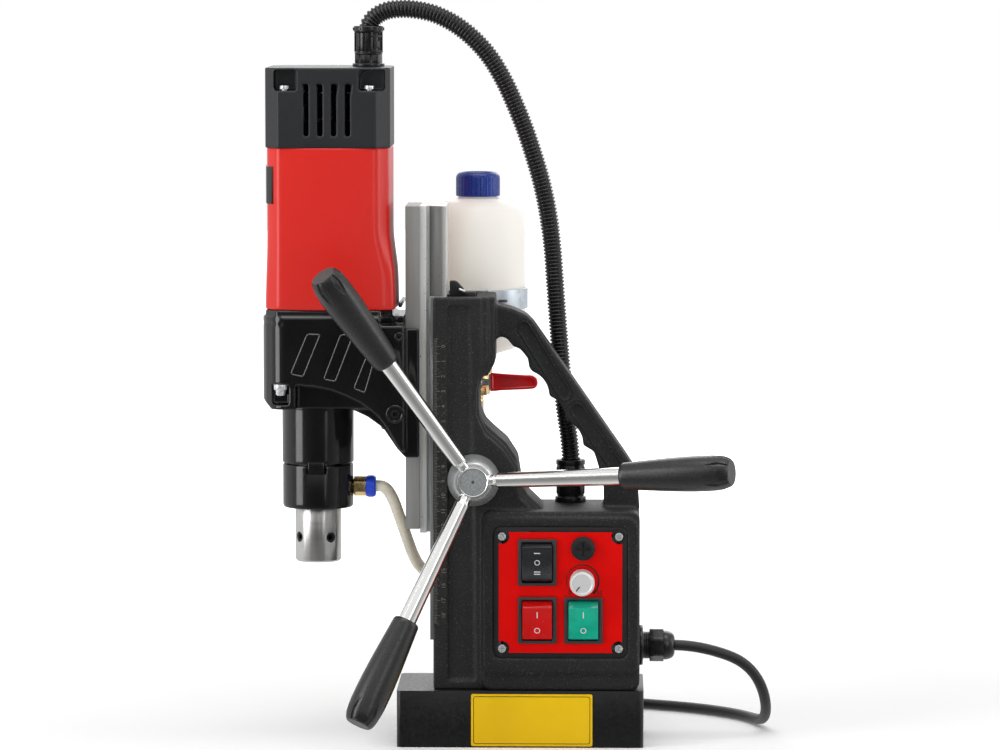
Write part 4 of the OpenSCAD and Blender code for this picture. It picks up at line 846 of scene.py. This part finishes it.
MAINS = place(79.5, 0, 63.5, [("Y", 90)])
mains_rings = [
    (4, -3), (13.0, 0), (13.4, 0.3), (13.4, 2.0), (12.9, 2.4), (9.2, 2.5), (9.2, 3.2), (8.7, 3.5),
    (9.1, 3.9), (9.1, 4.5), (8.6, 4.8), (9.1, 5.2), (9.1, 5.8), (8.7, 6.2), (9.2, 6.5), (9.2, 7.2),
    (4, 7.3),
]
mains_nose = [
    (4, 16), (9.7, 16.2), (9.75, 17.6), (9.5, 19), (9.0, 20.6), (8.2, 22.1), (6.9, 23.2), (5.6, 23.7),
    (4.5, 23.8), (3.9, 23.3), (3.7, 18),
]
gland = Shape().lathe(mains_rings, MAINS).lathe(mains_nose, MAINS)
gland.prism(worn_hexagon(10.9, 96, 1.0), 6.9, 16.3, MAINS)
piece("mains_gland", gland, NYLON, "stand", 0.3)

LOWER = place(33, 24, 158)
lower_profile = [
    (4.4, -6), (7.8, -6), (7.8, 0), (10.2, 0), (10.45, 0.3), (10.45, 3.2), (10.1, 3.6), (8.9, 3.7),
    (8.9, 4.4), (9.3, 4.6), (9.3, 24.2), (9.0, 24.8), (9.75, 25.0), (9.85, 25.3), (9.85, 28.1), (9.5, 28.5),
    (6.5, 28.5), (6.4, 20), (4.4, 20),
]
lower = Shape().lathe(lower_profile, LOWER)
for k in range(12):
    lower.box((9.1, -1.3, 5.5), (9.75, 1.3, 23.4), LOWER @ place(about=[("Z", 30 * k + 15)]))
piece("lower_conduit_gland", lower, NYLON, "stand", 0.25)

UPPER = place(-101.8, 0, 452)
upper_profile = [
    (4.2, -4), (6, -4), (6, 0), (10.5, 0), (10.7, 0.3), (10.7, 1.9), (10.3, 2.2), (8.2, 2.3), (8.2, 8.0),
    (9.1, 8.1), (9.3, 8.5), (9.3, 9.3), (8.8, 9.7), (8.8, 22.6), (9.4, 23.0), (9.95, 23.3), (9.95, 26.6),
    (9.6, 27.0), (6.5, 27), (6.4, 21.5), (4.2, 21),
]
upper = Shape().lathe(upper_profile, UPPER).prism(hexagon(9.4, 15), 2.2, 8.1, UPPER)
for degrees in (-135, -115, -95, 150, 170, 190, 60, 80, 100):
    upper.box((8.6, -1.2, 10.2), (9.5, 1.2, 22.4), UPPER @ place(about=[("Z", degrees)]))
# The latch: a raised frame with a tongue inside it, on both sides
for degrees in (-52, 128):
    at = UPPER @ place(about=[("Z", degrees)])
    upper.box((8.3, -4.6, 9.4), (10.0, -3.6, 23), at).box((8.3, 3.6, 9.4), (10.0, 4.6, 23), at)
    upper.box((8.3, -4.6, 19.4), (10.0, 4.6, 20.8), at).box((8.3, -4.6, 9.4), (10.0, 4.6, 10.9), at)
    upper.box((8.3, -2.4, 12.2), (9.7, 2.4, 17.2), at)
for k in range(8):
    upper.box((9.6, -1.3, 24.0), (10.5, 1.3, 25.9), UPPER @ place(about=[("Z", 45 * k + 8)]))
piece("upper_conduit_gland", upper, NYLON, "carriage", 0.22)

# ---------------------------------------------------------------- coolant bottle, tap and lever

BOTTLE_AXIS = (-30.7, 67)
AT_BOTTLE = place(*BOTTLE_AXIS)
bottle_profile = [
    (6.9, 255.2), (14, 255), (24, 258), (29.4, 262), (31.8, 267), (32.5, 273), (32.5, 283.5), (32.1, 285.2),
    (31.9, 286), (31.9, 300), (32.1, 300.8), (32.5, 302.5), (32.5, 338), (32.2, 345), (31.0, 350.4),
    (28.4, 355), (24.6, 358.2), (20, 360.2), (14.6, 361), (13, 361.6), (12.4, 362.4), (12.2, 372.6),
    (10, 373), (10, 359.8), (19.8, 358.8), (23.8, 356.9), (27.2, 354), (29.6, 350), (30.7, 345),
    (31.0, 338), (31.0, 273), (30.3, 267.6), (28.2, 263.4), (23.4, 259.6), (14, 256.9), (6.9, 256.8),
    (6.9, 255.2),
]
bottle = Shape().lathe(bottle_profile, AT_BOTTLE, 96)
piece("coolant_bottle", bottle, BOTTLE, "stand", angle=60)


def cap_ribs(r, h, turn):
    """Grip ribs round the cap's skirt."""
    return r - 0.24 * max(0.0, math.cos(30 * turn)) ** 0.5 if 363 < h < 376 and r > 14 else r


cap_profile = [
    (12.6, 362.3), (14.4, 362.3), (14.9, 362.7), (15, 363.3), (15, 374.8), (14.6, 376.4), (13.4, 378.0),
    (12.2, 378.7), (11.4, 378.4), (11.0, 377.9), (3, 377.8),
]
cap_shape = Shape().lathe(cap_profile, AT_BOTTLE, 360, cap_ribs)
piece("bottle_cap", cap_shape, BLUE, "bottle_cap", angle=35)

STRAP_LOW, STRAP_TOP = 286, 300
strap_profile = [
    (32.6, STRAP_LOW), (33.7, STRAP_LOW), (34, STRAP_LOW + 0.3), (34, STRAP_TOP - 0.3), (33.7, STRAP_TOP),
    (32.6, STRAP_TOP), (32.6, STRAP_LOW),
]
strap = Shape().lathe(strap_profile, AT_BOTTLE, 96)
for low, high in (((-56.7, 33), (-22.7, 36.2)), ((-56.7, 33), (-54.4, 47)), ((-25, 33), (-22.7, 38))):
    strap.box((*low, STRAP_LOW), (*high, STRAP_TOP))
piece("bottle_strap", strap, ZINC_SHEET, "stand", 0.3)
slot_at = place(-13, 37.9, 292.6, [("Z", 31.4), ("X", 90)])
slot_mark = Shape().box((-3.4, -0.9, -0.2), (3.4, 0.9, 0.3), slot_at)
for x in (-48, -31):
    slot_mark.lathe([(3.4, 0), (3.2, 1.2), (2.4, 1.9), (0.8, 2.1)], place(x, 36.2, 293, [("X", -90)]), 24)
piece("strap_slot", slot_mark, DARK_STEEL, "stand", 0.15)

TAP_HEIGHT = 236
tap_barb = [
    (2.6, 221), (3.7, 221), (4.1, 222.2), (3.5, 223.4), (4.1, 224.6), (3.6, 225.8), (6.2, 226.2),
    (6.2, 228), (2.6, 228),
]
tap_ball = [
    (5, 231.6), (7.2, 232), (8.4, 233.4), (8.9, 236), (8.4, 239), (7.2, 240.6), (6.6, 241.4), (5, 241.6),
]
tap_neck = [
    (5, 248.2), (8.2, 248.4), (8.2, 250.6), (11.8, 250.8), (12, 251.2), (12, 254.7), (6.8, 255), (6.8, 263),
    (2.6, 263),
]
tap_boss = [(5.2, 5), (5.2, 9.2), (4.4, 9.8), (2.6, 9.8), (2.6, 5)]
LEVER_AT = facing_near(*BOTTLE_AXIS, TAP_HEIGHT)
tap = Shape().lathe(tap_barb, AT_BOTTLE, 32).prism(hexagon(8.6, 15), 226.6, 232.0, AT_BOTTLE)
tap.lathe(tap_ball, AT_BOTTLE, 40).prism(hexagon(9.8, 5), 241.2, 248.4, AT_BOTTLE)
tap.lathe(tap_neck, AT_BOTTLE, 40).lathe(tap_boss, LEVER_AT, 28)
piece("tap_body", tap, BRASS, "stand", 0.3)

dip_line = [
    (8.9, -6.2), (16, -5.4), (26, -4.9), (35, -4.6), (39, -4.0), (40.8, -2.2), (41.0, 0.6), (40.2, 3.0),
    (37.5, 4.8), (30, 5.1), (20, 5.6), (10, 6.4), (8.9, 6.5),
]
lever = Shape().prism(dip_line, 11.6, 14.0, LEVER_AT)
# The dipped rim round the lever's hollow face
rim_line = [LEVER_AT @ Vector((x, y, 14.3)) for x, y in filleted(inset(dip_line, 1.0), 1.6, 3)]
lever.tube(rim_line, 1.15, 12, closed=True)
piece("tap_lever", lever, LEVER, "tap_lever", 0.7, 3)
saddle = [
    (-3.4, -2.2), (-2.2, -3.4), (2, -2.6), (7.6, -2.2), (8.0, -5.6), (9.6, -5.6), (9.6, 5.8), (8.0, 5.8),
    (7.6, 2.2), (2, 2.6), (-2.2, 3.4), (-3.4, 2.2),
]
spindle_nut = Shape().prism(hexagon(3.4, 10), 13.5, 16.0, LEVER_AT)
spindle_nut.lathe([(2.4, 3), (2.4, 14.5), (1.6, 16.8), (1.2, 17.1)], LEVER_AT, 24)
spindle_nut.prism(saddle, 12.2, 13.6, LEVER_AT)
piece("tap_nut", spindle_nut, ZINC, "tap_lever", 0.2)

# ---------------------------------------------------------------- hose fitting

FITTING = place(-112.6, 0, 170.7, [("Y", 90)])
fitting = Shape().prism(hexagon(6.8), 0.4, 8.5, FITTING)
fitting.lathe([(2.4, -7), (3.9, -7), (3.9, 0), (5.6, 0.2), (5.6, 0.8), (2.4, 0.8)], FITTING, 32)
fitting.lathe([(2.6, 8.6), (6.0, 8.8), (6.1, 9.2), (6.1, 11.2), (2.6, 11.2)], FITTING, 40)
piece("coolant_fitting", fitting, BRASS, "carriage", 0.45)
ring_profile = [
    (4.1, 8.3), (6.3, 8.3), (7.1, 8.9), (7.5, 10.4), (7.5, 12.8), (7.2, 14.2), (6.3, 15.1), (4.1, 15.2),
]
piece("fitting_ring", Shape().lathe(ring_profile, FITTING), BLUE_RING, "carriage")

# ---------------------------------------------------------------- gearbox


def head_outline(into):
    """The motor head's outline seen from above, set in from the casting's."""
    near = [(-171 + into, -31), (-161, -45 + into), (-93, -45 + into), (-83 - into, -31)]
    return filleted(mirrored(near), 1.5)


def swollen(outline, middle, times):
    """An outline drawn larger from a point on the X axis."""
    return [(middle + (x - middle) * times, y * times) for x, y in outline]


gear_knife = Shape()
arch = [
    (-148.5, 242.6), (-136, 241.4), (-125.6, 239.4), (-115.5, 235.6), (-106.1, 231), (-99, 226),
    (-93.2, 220.9), (-90, 216), (-148.5, 216),
]
gear_knife.prism(arch, 33.5, 60, NEAR)
gear_knife.prism(arch, 43.6, 60, FAR)
both_sides(gear_knife, [(-164.2, 229.4), (-153.0, 229.4), (-153.0, 242.4), (-164.2, 242.4)], 38.0, 60)
# Seam under the head, and the neck that the motor stands on
for low, high, into in ((282.1, 283.7, 1.4), (287.4, 293, 1.9)):
    gear_knife.prism(swollen(head_outline(into), -127, 1.25), low, high, hole=head_outline(into))
soft = filleted(mirrored([(-171.2, -31), (-161, -45.2), (-50, -45.2)]), 7.6, 6)
gear_knife.prism(swollen(soft, -111, 1.3), 224, 293, hole=soft)
gear_extra = Shape().prism(head_outline(2.0), 283.6, 291.9, hole=head_outline(4.6))
# The spur behind the motor's foot
spur = [(-84, 281), (-76.6, 281), (-76.6, 287), (-79.2, 296.6), (-81.0, 296.6), (-81.0, 288.4), (-84, 286.4)]
gear_extra.prism(spur, -30, 30, NEAR)
# The near and far faces run on to the head plate above the arch
cheek = [
    (-107, 231.5), (-99, 226), (-93, 220.5), (-87.5, 213), (-83, 205), (-79.5, 199), (-76.5, 198),
    (-76.5, 282.1), (-107, 282.1),
]
both_sides(gear_extra, cheek, 30, 45)
gear_extra.box((-93.2, -7, 209.6), (-85, 7, 224))
gear_extra.lathe([(2.2, 0), (3.6, 1.0), (3.9, 12)], place(-90.2, -7, 209.4), 20)
gear_mesh = remelt("gearbox_casting", gear_extra, gear_knife, 0.85, 5)
piece("gearbox_casting", gear_mesh, CASTING, "carriage", angle=50)
piece("bearing_plate", Shape().prism(head_outline(4.8), 284.2, 291.8), BLACKED, "carriage", 0.2)

# Bright rims round the pads, and bosses with socket-head screws on the web
bosses, rims, sockets, bolts = Shape(), Shape(), Shape(), Shape()
pads = (
    [(-140.9, 277), (-131.2, 276.6), (-143.1, 247.4), (-152.4, 249.5)],
    [(-118.9, 276.6), (-109.3, 276.6), (-121.7, 244.4), (-130.5, 246.1)],
    [(-99.6, 267.2), (-93.4, 267.4), (-102.2, 236.8), (-110.6, 240.1)],
)
for pad in pads:
    for side, _ in SIDES:
        rims.tube([(x, side * 45.1, z) for x, z in filleted(inset(pad, 0.6), 1.6)], 0.5, 8, closed=True)
boss_ring = [
    (3.4, -0.6), (6.3, -0.6), (6.2, 0.7), (5.6, 1.1), (4.9, 1.0), (4.6, 0.2), (3.4, -0.2), (3.4, -0.6),
]
small_ring = [(1.5, -0.4), (3.1, -0.4), (3.0, 0.7), (2.5, 1.0), (1.9, 0.9), (1.5, 0.3), (1.5, -0.4)]
bolt = [
    (2.6, 242.8), (4.5, 242.8), (4.5, 239.9), (4.2, 239.3), (3.3, 238.9), (3.2, 236.4), (2.9, 235.6),
    (1.2, 235.2),
]
for side, flip in SIDES:
    boss, small = (place(x, side * 45, z) @ flip for x, z in ((-82.6, 223.3), (-79.9, 274.7)))
    bosses.lathe(boss_ring, boss, 40)
    bosses.lathe(small_ring, small, 30)
    sockets.prism(hexagon(3.3, 10), -0.2, 0.9, boss, hole=hexagon(1.7, 10))
    sockets.prism(hexagon(2.2), -0.3, 0.4, small, hole=hexagon(1.1))
    bolts.lathe(bolt, place(-158.6, side * 41.6), 28)
piece("gearbox_relief", bosses, CASTING, "carriage", 0.28)
piece("gearbox_rims", rims, EDGE, "carriage", angle=60)
piece("web_screws", sockets, BLACKED, "carriage", 0.15)
piece("head_bolts", bolts, ZINC, "carriage", 0.15)

# ---------------------------------------------------------------- motor

MOTOR_X = -127.5


def motor_outline(grow, rear, corner):
    """The shell's outline. rear moves its back out, and corner from 0 to 1 fills the rear chamfers."""
    l, w = 42 + grow, 43 + grow
    near = [(x, -w + 2.3 * (x / 33) ** 2) for x in (-33, -24.7, -16.5, -8.2, 0, 8.2, 16.5, 24.7)]
    near.append((33 + 5.5 * corner, -w + 2.3 + 0.6 * corner))
    back = l + rear
    half = [(back - 1.8 + 0.6 * corner, 12 - w - 6.5 * corner), (back - 0.9, -18.0), (back, -6.0)]
    front = [(-l + 1.8, w - 12), (-l + 0.9, 18.0), (-l, 6.0)]
    return filleted([(MOTOR_X + x, y) for x, y in mirrored(near + half) + mirrored(front)], 3.0)


# At each height, how far the shell stands outside its usual size
GROWTH = [
    (292.0, 0.3), (292.5, 1.0), (293.2, 1.2), (296, 1.2), (300, 1.1), (304, 1.0), (308, 0.9), (312, 0.75),
    (316, 0.6), (320, 0.45), (324, 0.3), (328, 0.2), (332, 0.1), (336, 0.05), (340, 0), (344, 0), (348, 0),
    (354, 0), (366, 0), (380, 0), (392, 0), (397.6, 0), (398.6, -0.15), (399, -0.6),
]
shell = []
for height, grow in GROWTH:
    outline = motor_outline(grow, 2.4 * (1 - ease(height, 314, 34)), 0.92 * (1 - ease(height, 310, 38)))
    shell.append([(x, y, height) for x, y in outline])
piece("motor_housing", Shape().loft(shell), RED_SHELL, "carriage", angle=40)
wrap = mirrored([(-163.7, -36.9), (-167.2, -31.6), (-168.7, -18), (-169.5, -6)])
badge = [(x - 0.7, y * 1.012) for x, y in wrap] + [(x + 0.6, y) for x, y in wrap[::-1]]
badge = Shape().prism(filleted(badge, 0.2, 2), 362, 386.6)
piece("front_plate", badge, BLACK, "carriage", 0.2)

cover_knife, cover_extra = Shape(), Shape()
rear_pocket = [(-89.6, 437), (-89.6, 450.6), (-101.5, 450.6), (-105, 448.6), (-106.2, 445), (-106.2, 437)]
for _, flip in SIDES:
    # Vents: over each slot a wider mouth, which leans away from the middle
    for k in (-1.5, -0.5, 0.5, 1.5):
        x = MOTOR_X + 9.1 * k
        right, left = (0, 1.04) if k < 0 else (1.82, 0)
        mouth = [(x - 1.3, 430.5), (x + 1.3, 430.5), (x + 1.3 + right, 441.2), (x - 1.3 - left, 441.8)]
        cover_knife.prism(mouth, 39.5, 46, flip)
        cover_knife.box((x - 1.15, 406.8, 20), (x + 1.15, 440.8, 46), flip)
    cover_knife.prism(rear_pocket, 32.0, 46, flip)
    cover_knife.box((-162.2, 437, 32.0), (-147.4, 450.6, 46), flip)
for x in (-1, 1):
    for y in (-1, 1):
        lid = [(20, 41.8), (32.6, 41.0), (39.4, 31.4), (39.4, 28), (20, 28)]
        cover_extra.prism([(MOTOR_X + x * a, y * b) for a, b in lid], 450.6, 452)
cover_mesh = remelt("motor_cover", cover_extra, cover_knife, 0.75, 4)
piece("motor_cover", cover_mesh, COVER, "carriage", angle=50)

# ---------------------------------------------------------------- quill, collar and screws

QUILL_X = -136.3
QUILL = place(QUILL_X)
quill_profile = [
    (18, 187.2), (23.2, 187.0), (23.9, 187.5), (24, 188.2), (24, 190), (24, 222.6), (24, 224.4),
    (24.3, 226.4), (18, 226.4), (18, 187.2),
]
quill = Shape().lathe(quill_profile, QUILL, 96)
tab = []
for r, turns in ((24.05, range(-13, 14, 2)), (19.5, range(13, -14, -2))):
    tab += [(QUILL_X + r * math.sin(math.radians(t)), -r * math.cos(math.radians(t))) for t in turns]
quill.prism(tab, 181.3, 189)
piece("quill", quill, CASTING, "carriage", 0.3, angle=35)
collar_profile = [
    (13, 157), (22.4, 157), (23.2, 157.5), (23.65, 158.6), (23.7, 160), (23.7, 161.5), (23.7, 184),
    (23.7, 185.4), (23.4, 186.1), (22.6, 186.4), (13, 186.4), (13, 157),
]
collar = Shape().lathe(collar_profile, QUILL, 96).mesh("collar")
collar = carved(collar, Shape().box((-142.7, -30, 180.8), (-129.9, -18, 190)))
piece("coolant_collar", collar, CASTING, "carriage", 0.25, angle=35)

screws = Shape()
for degrees in (-143, -53):
    at = place(QUILL_X, 0, 137.3, [("Z", degrees), ("Y", 90)])
    screws.prism(circle(3.8, 30), 10.4, 14.6, at, hole=worn_hexagon(1.9, 30))
    screws.lathe([(0.3, 10.3), (2.6, 10.3), (2.6, 11.2), (0.3, 11.3)], at, 20)
piece("arbor_grub_screws", screws, BLACKED, "spindle", 0.25)

# ---------------------------------------------------------------- capstan

CAPSTAN_X, CAPSTAN_Z = -31, 178.5
HUB = facing_near(CAPSTAN_X, -33.3, CAPSTAN_Z)
hub_profile = [
    (5.1, 0), (16.9, 0), (17.3, 0.35), (17.3, 2.0), (17.05, 2.6), (15.75, 6.0), (12.9, 11.5), (12.2, 12.3),
    (11.2, 12.6), (5.1, 12.6), (5.1, 0),
]
piece("capstan_hub", Shape().lathe(hub_profile, HUB, 128), SPUN, "capstan", angle=25)
rim_profile = [
    (0.4, 11.8), (10.1, 11.8), (10.35, 12.3), (10.35, 14.7), (10.05, 15.25), (9.5, 15.4), (9.1, 15.2),
    (8.9, 14.7), (8.8, 14.55), (0.4, 14.5),
]
piece("hub_rim", Shape().lathe(rim_profile, HUB, 96), RIM, "capstan", angle=35)
face_profile = [(0.3, 14.0), (8.7, 14.0), (8.7, 14.62), (8.2, 14.7), (1.4, 14.66), (1.1, 14.4), (0.3, 14.3)]
piece("hub_face", Shape().lathe(face_profile, HUB, 72), GRAINED, "capstan", angle=35)


def grip_wave(r, h, turn):
    """V-shaped notches between the chamfer's facets at the far end."""
    past = h - 164.5
    if past < 0 or r < 8.6:
        return r
    off = abs((turn + TAU / 12) % (TAU / 6) - TAU / 12)
    facet = 1 - 0.035 * (1 - math.cos(3 * turn) ** 2) * min(1, past / 10)
    notch = 1.15 * min(1, past / 7) if off < 0.24 * min(1.0, past / 9.0) else 0
    return r * facet - notch


grip_profile = [
    (4.1, 104.9), (7.0, 104.8), (8.2, 105.2), (8.85, 106.4), (9.05, 108.4), (9.25, 112), (9.65, 118),
    (10.2, 126), (10.75, 134), (11.2, 142), (11.55, 150), (11.72, 157), (11.72, 162), (11.7, 164.4),
    (11.66, 166), (11.62, 168), (11.58, 170), (11.5, 172), (11.4, 174), (11.2, 175.6), (10.6, 177.4),
    (9.8, 179.2), (9.1, 180.3), (8.5, 180.55), (4.1, 180.4),
]
grips, ends = Shape(), Shape()
for turn in (4.3, 124.3, 244.3):
    at = place(CAPSTAN_X, -40, CAPSTAN_Z, [("Y", -turn), ("Z", -20), ("Y", 90)])
    grips.lathe(grip_profile, at, 144, grip_wave)
    ends.lathe([(0.5, 180.0), (8.3, 180.0), (8.45, 180.7), (8.1, 181.0), (0.5, 180.9)], at, 60)
piece("grips", grips, GRIP, "capstan", angle=24)
piece("grip_ends", ends, GRIP_END, "capstan", angle=35)

# ---------------------------------------------------------------- switches, knob and print on the panel


def rocker_outline():
    """The rocker's side: two round ends and a shallow saddle between them."""
    r = 13.15
    rear = [math.radians(193 - (193 - 144.6) * k / 5) for k in range(1, 6)]
    front = [math.radians(35.4 - (35.4 + 13) * k / 5) for k in range(5)]
    saddle = [(-8.2, 6.9), (-5.4, 6.28), (-2.7, 5.86), (0, 5.72), (2.7, 5.86), (5.4, 6.28), (8.2, 6.9)]
    line = [(-12.9, -3)] + [(r * math.cos(turn), r * math.sin(turn)) for turn in rear] + saddle
    return line + [(r * math.cos(turn), r * math.sin(turn)) for turn in front] + [(12.9, -3)]


def rocker(name, x, z, tip, material):
    """A rocker and its marks. tip turns it about its pin in degrees."""
    at = place(x, -37.1, z, [("X", tip), ("Y", -90), ("X", 180)]) @ place(z=-9.85)
    piece(name, Shape().prism(rocker_outline(), 0, 19.7, at), material, name, 0.45, 3, angle=30)
    marks = Shape()

    def spot(along, height, lean):
        c, s = math.cos(math.radians(lean)), math.sin(math.radians(lean))
        return at @ Matrix(((0, c, -s, along), (0, s, c, height), (1, 0, 0, 9.85), (0, 0, 0, 1)))

    if name == "direction_rocker":
        marks.box((-2.1, -0.3, 0), (2.1, 0.3, 0.12), spot(6.6, 6.58, 12))
        zero = words("O", 3.6, spot(0, 5.74, 0), 0.1)
        for k in (-0.75, 0.75):
            marks.box((-2.1, k - 0.3, 0), (2.1, k + 0.3, 0.12), spot(-6.6, 6.58, -12))
    else:
        marks.box((-0.3, -2.3, 0), (0.3, 2.3, 0.12), spot(5.6, 6.32, 11))
        zero = words("O", 3.8, spot(-5.6, 6.36, -11), 0.1)
    piece(name + "_marks", marks.join(zero), PALE, name)


rocker("direction_rocker", 11.4, 124.2, 0, ROCKER_BLACK)
rocker("motor_rocker", 11.4, 85.5, 12, ROCKER_RED)
rocker("magnet_rocker", 42.1, 85.5, 12, ROCKER_GREEN)

KNOB_X, KNOB_Z = 41.3, 111.8
PRINT_Y = -39.1
KNOB_AT = facing_near(KNOB_X, -40.5, KNOB_Z)


def knurl(r, h, turn):
    """Fine grooves round the knob."""
    return r - 0.28 * max(0.0, math.cos(48 * turn)) if 1.0 < h < 12.4 and r > 8 else r


knob_profile = [
    (3.1, 0), (7.8, 0), (8.2, 0.4), (8.2, 1.0), (8.19, 1.1), (8.2, 2), (8.2, 6), (8.2, 12.3), (8.15, 12.5),
    (8.2, 12.9), (8.1, 13.9), (7.5, 14.7), (6.7, 15.0), (6.3, 14.8), (6.1, 14.5), (0.4, 14.42),
]
knob = Shape().lathe(knob_profile, KNOB_AT, 288, knurl)
piece("speed_knob", knob, KNOB, "speed_knob", angle=30)
pointer = Shape().box((-0.35, 2.4, 14.2), (0.35, 6.6, 14.75), KNOB_AT @ place(about=[("Z", 140)]))
pointer.lathe([(3, -5), (3, 0.2), (1, 0.2)], KNOB_AT, 24)
piece("knob_line", pointer, INK, "speed_knob")

# The speed mark round the knob grows wider from its start to its end
PANEL = facing_near(KNOB_X, PRINT_Y, KNOB_Z)
ARC_IN = 10.4
ARC_STEPS = 32
printed = Shape()
arc = []
for k in range(ARC_STEPS + 1):
    turn = math.radians(230 - 280 * k / ARC_STEPS)
    arc.append([(r * math.cos(turn), r * math.sin(turn)) for r in (ARC_IN + 0.25 + k / ARC_STEPS, ARC_IN)])
for (a, d), (b, c) in zip(arc, arc[1:]):
    printed.prism([a, b, c, d], -0.02, 0.12, PANEL)
for text, x in (("0", 32.8), ("100", 51.6)):
    printed.join(words(text, 2.9, facing_near(x, PRINT_Y, 103.9)))
piece("panel_print", printed, INK, "stand")

# ---------------------------------------------------------------- small parts at the column's top

clip_line = [
    (-47.4, 296), (-30, 296), (-30, 302.4), (-37.4, 302.4), (-38.4, 305), (-42.4, 309.2), (-44, 309.8),
    (-47.4, 309.8),
]
clip = Shape().prism(filleted(clip_line, 0.8, 3), 8.6, 16, NEAR)
piece("column_clip", clip, BLACK, "stand", 0.4)
clip_screw = Shape().tube([(-41.2, -16.6, 304.4), (-37.2, -16.6, 302.8)], 0.9, 16)
piece("clip_screw", clip_screw, ZINC, "stand", 0.2)

# ---------------------------------------------------------------- light and floor

MIDDLE = (0, 0, 0.25)


def around(degrees, far, height):
    """A spot round the part; 0 degrees is at the camera and positive goes to the right."""
    turn = math.radians(degrees)
    return (far * math.sin(turn), -far * math.cos(turn), height)


# Each light's name, spot, width and height in metres, and power. All are aimed at the part's middle
LIGHTS = [
    ("left_box", around(-62, 2.1, 0.75), 0.9, 1.9, 25),
    ("right_strip", around(27, 2.5, 0.9), 0.30, 1.9, 6),
    ("right_box", around(88, 2.2, 0.8), 0.9, 1.6, 9),
    ("top_box", (0.1, -0.5, 2.3), 1.9, 1.2, 20),
    ("back_box", (0.2, 1.9, 1.3), 1.8, 1.2, 14),
]
for name, spot, wide, tall, power in LIGHTS:
    data = bpy.data.lights.new(name, "AREA")
    data.shape = "RECTANGLE"
    data.size = wide
    data.size_y = tall
    data.energy = power
    light = linked(name, data)
    light.location = spot
    light.rotation_euler = (Vector(MIDDLE) - Vector(spot)).to_track_quat("-Z", "Y").to_euler()

# The camera sees a white world. Reflections see one that is bright above and behind, and dark in front
WHITE = (1, 1, 1)
world = bpy.data.worlds.new("studio")
scene.world = world
sky = Graph(world)
paths = sky.node("LightPath").outputs
way = sky.node("SeparateXYZ", {0: sky.node("TexCoord").outputs["Generated"]}).outputs
behind, above = sky.range(way[1], 0.08, 0.85, -0.97, 0.1), sky.range(way[2], 0.0, 0.9, 0.05, 0.45)
mirror = sky.node("Background", {0: WHITE, 1: sky.math("MAXIMUM", behind, above)}).outputs[0]
fill = sky.node("Background", {0: WHITE, 1: 0.33}).outputs[0]
white = sky.node("Background", {0: WHITE}).outputs[0]
unseen = sky.node("MixShader", {0: paths["Is Glossy Ray"], 1: fill, 2: mirror}).outputs[0]
seen = sky.math("MAXIMUM", paths["Is Camera Ray"], paths["Is Transmission Ray"])
sky.node("OutputWorld", {0: sky.node("MixShader", {0: seen, 1: unseen, 2: white}).outputs[0]})

floor_look = Nodes("floor")
floor_look.set(Base_Color=(0.93, 0.93, 0.93), Roughness=floor_look.range(floor_look.noise(40, 3), 0.7, 0.8))
far = floor_look.node("VectorMath", {0: floor_look.where}, operation="LENGTH").outputs["Value"]
glow = floor_look.range(far, 0.12, 1.1, 0.45, 1.3)
floor_look.set(Emission_Color=WHITE, Emission_Strength=glow, Specular_IOR_Level=0.1)
floor = linked("floor", Shape().prism(circle(6000, 96), -3, 0).mesh("floor"))
floor.data.materials.append(floor_look.look)
floor.visible_glossy = False

scene.view_settings.view_transform = "Standard"
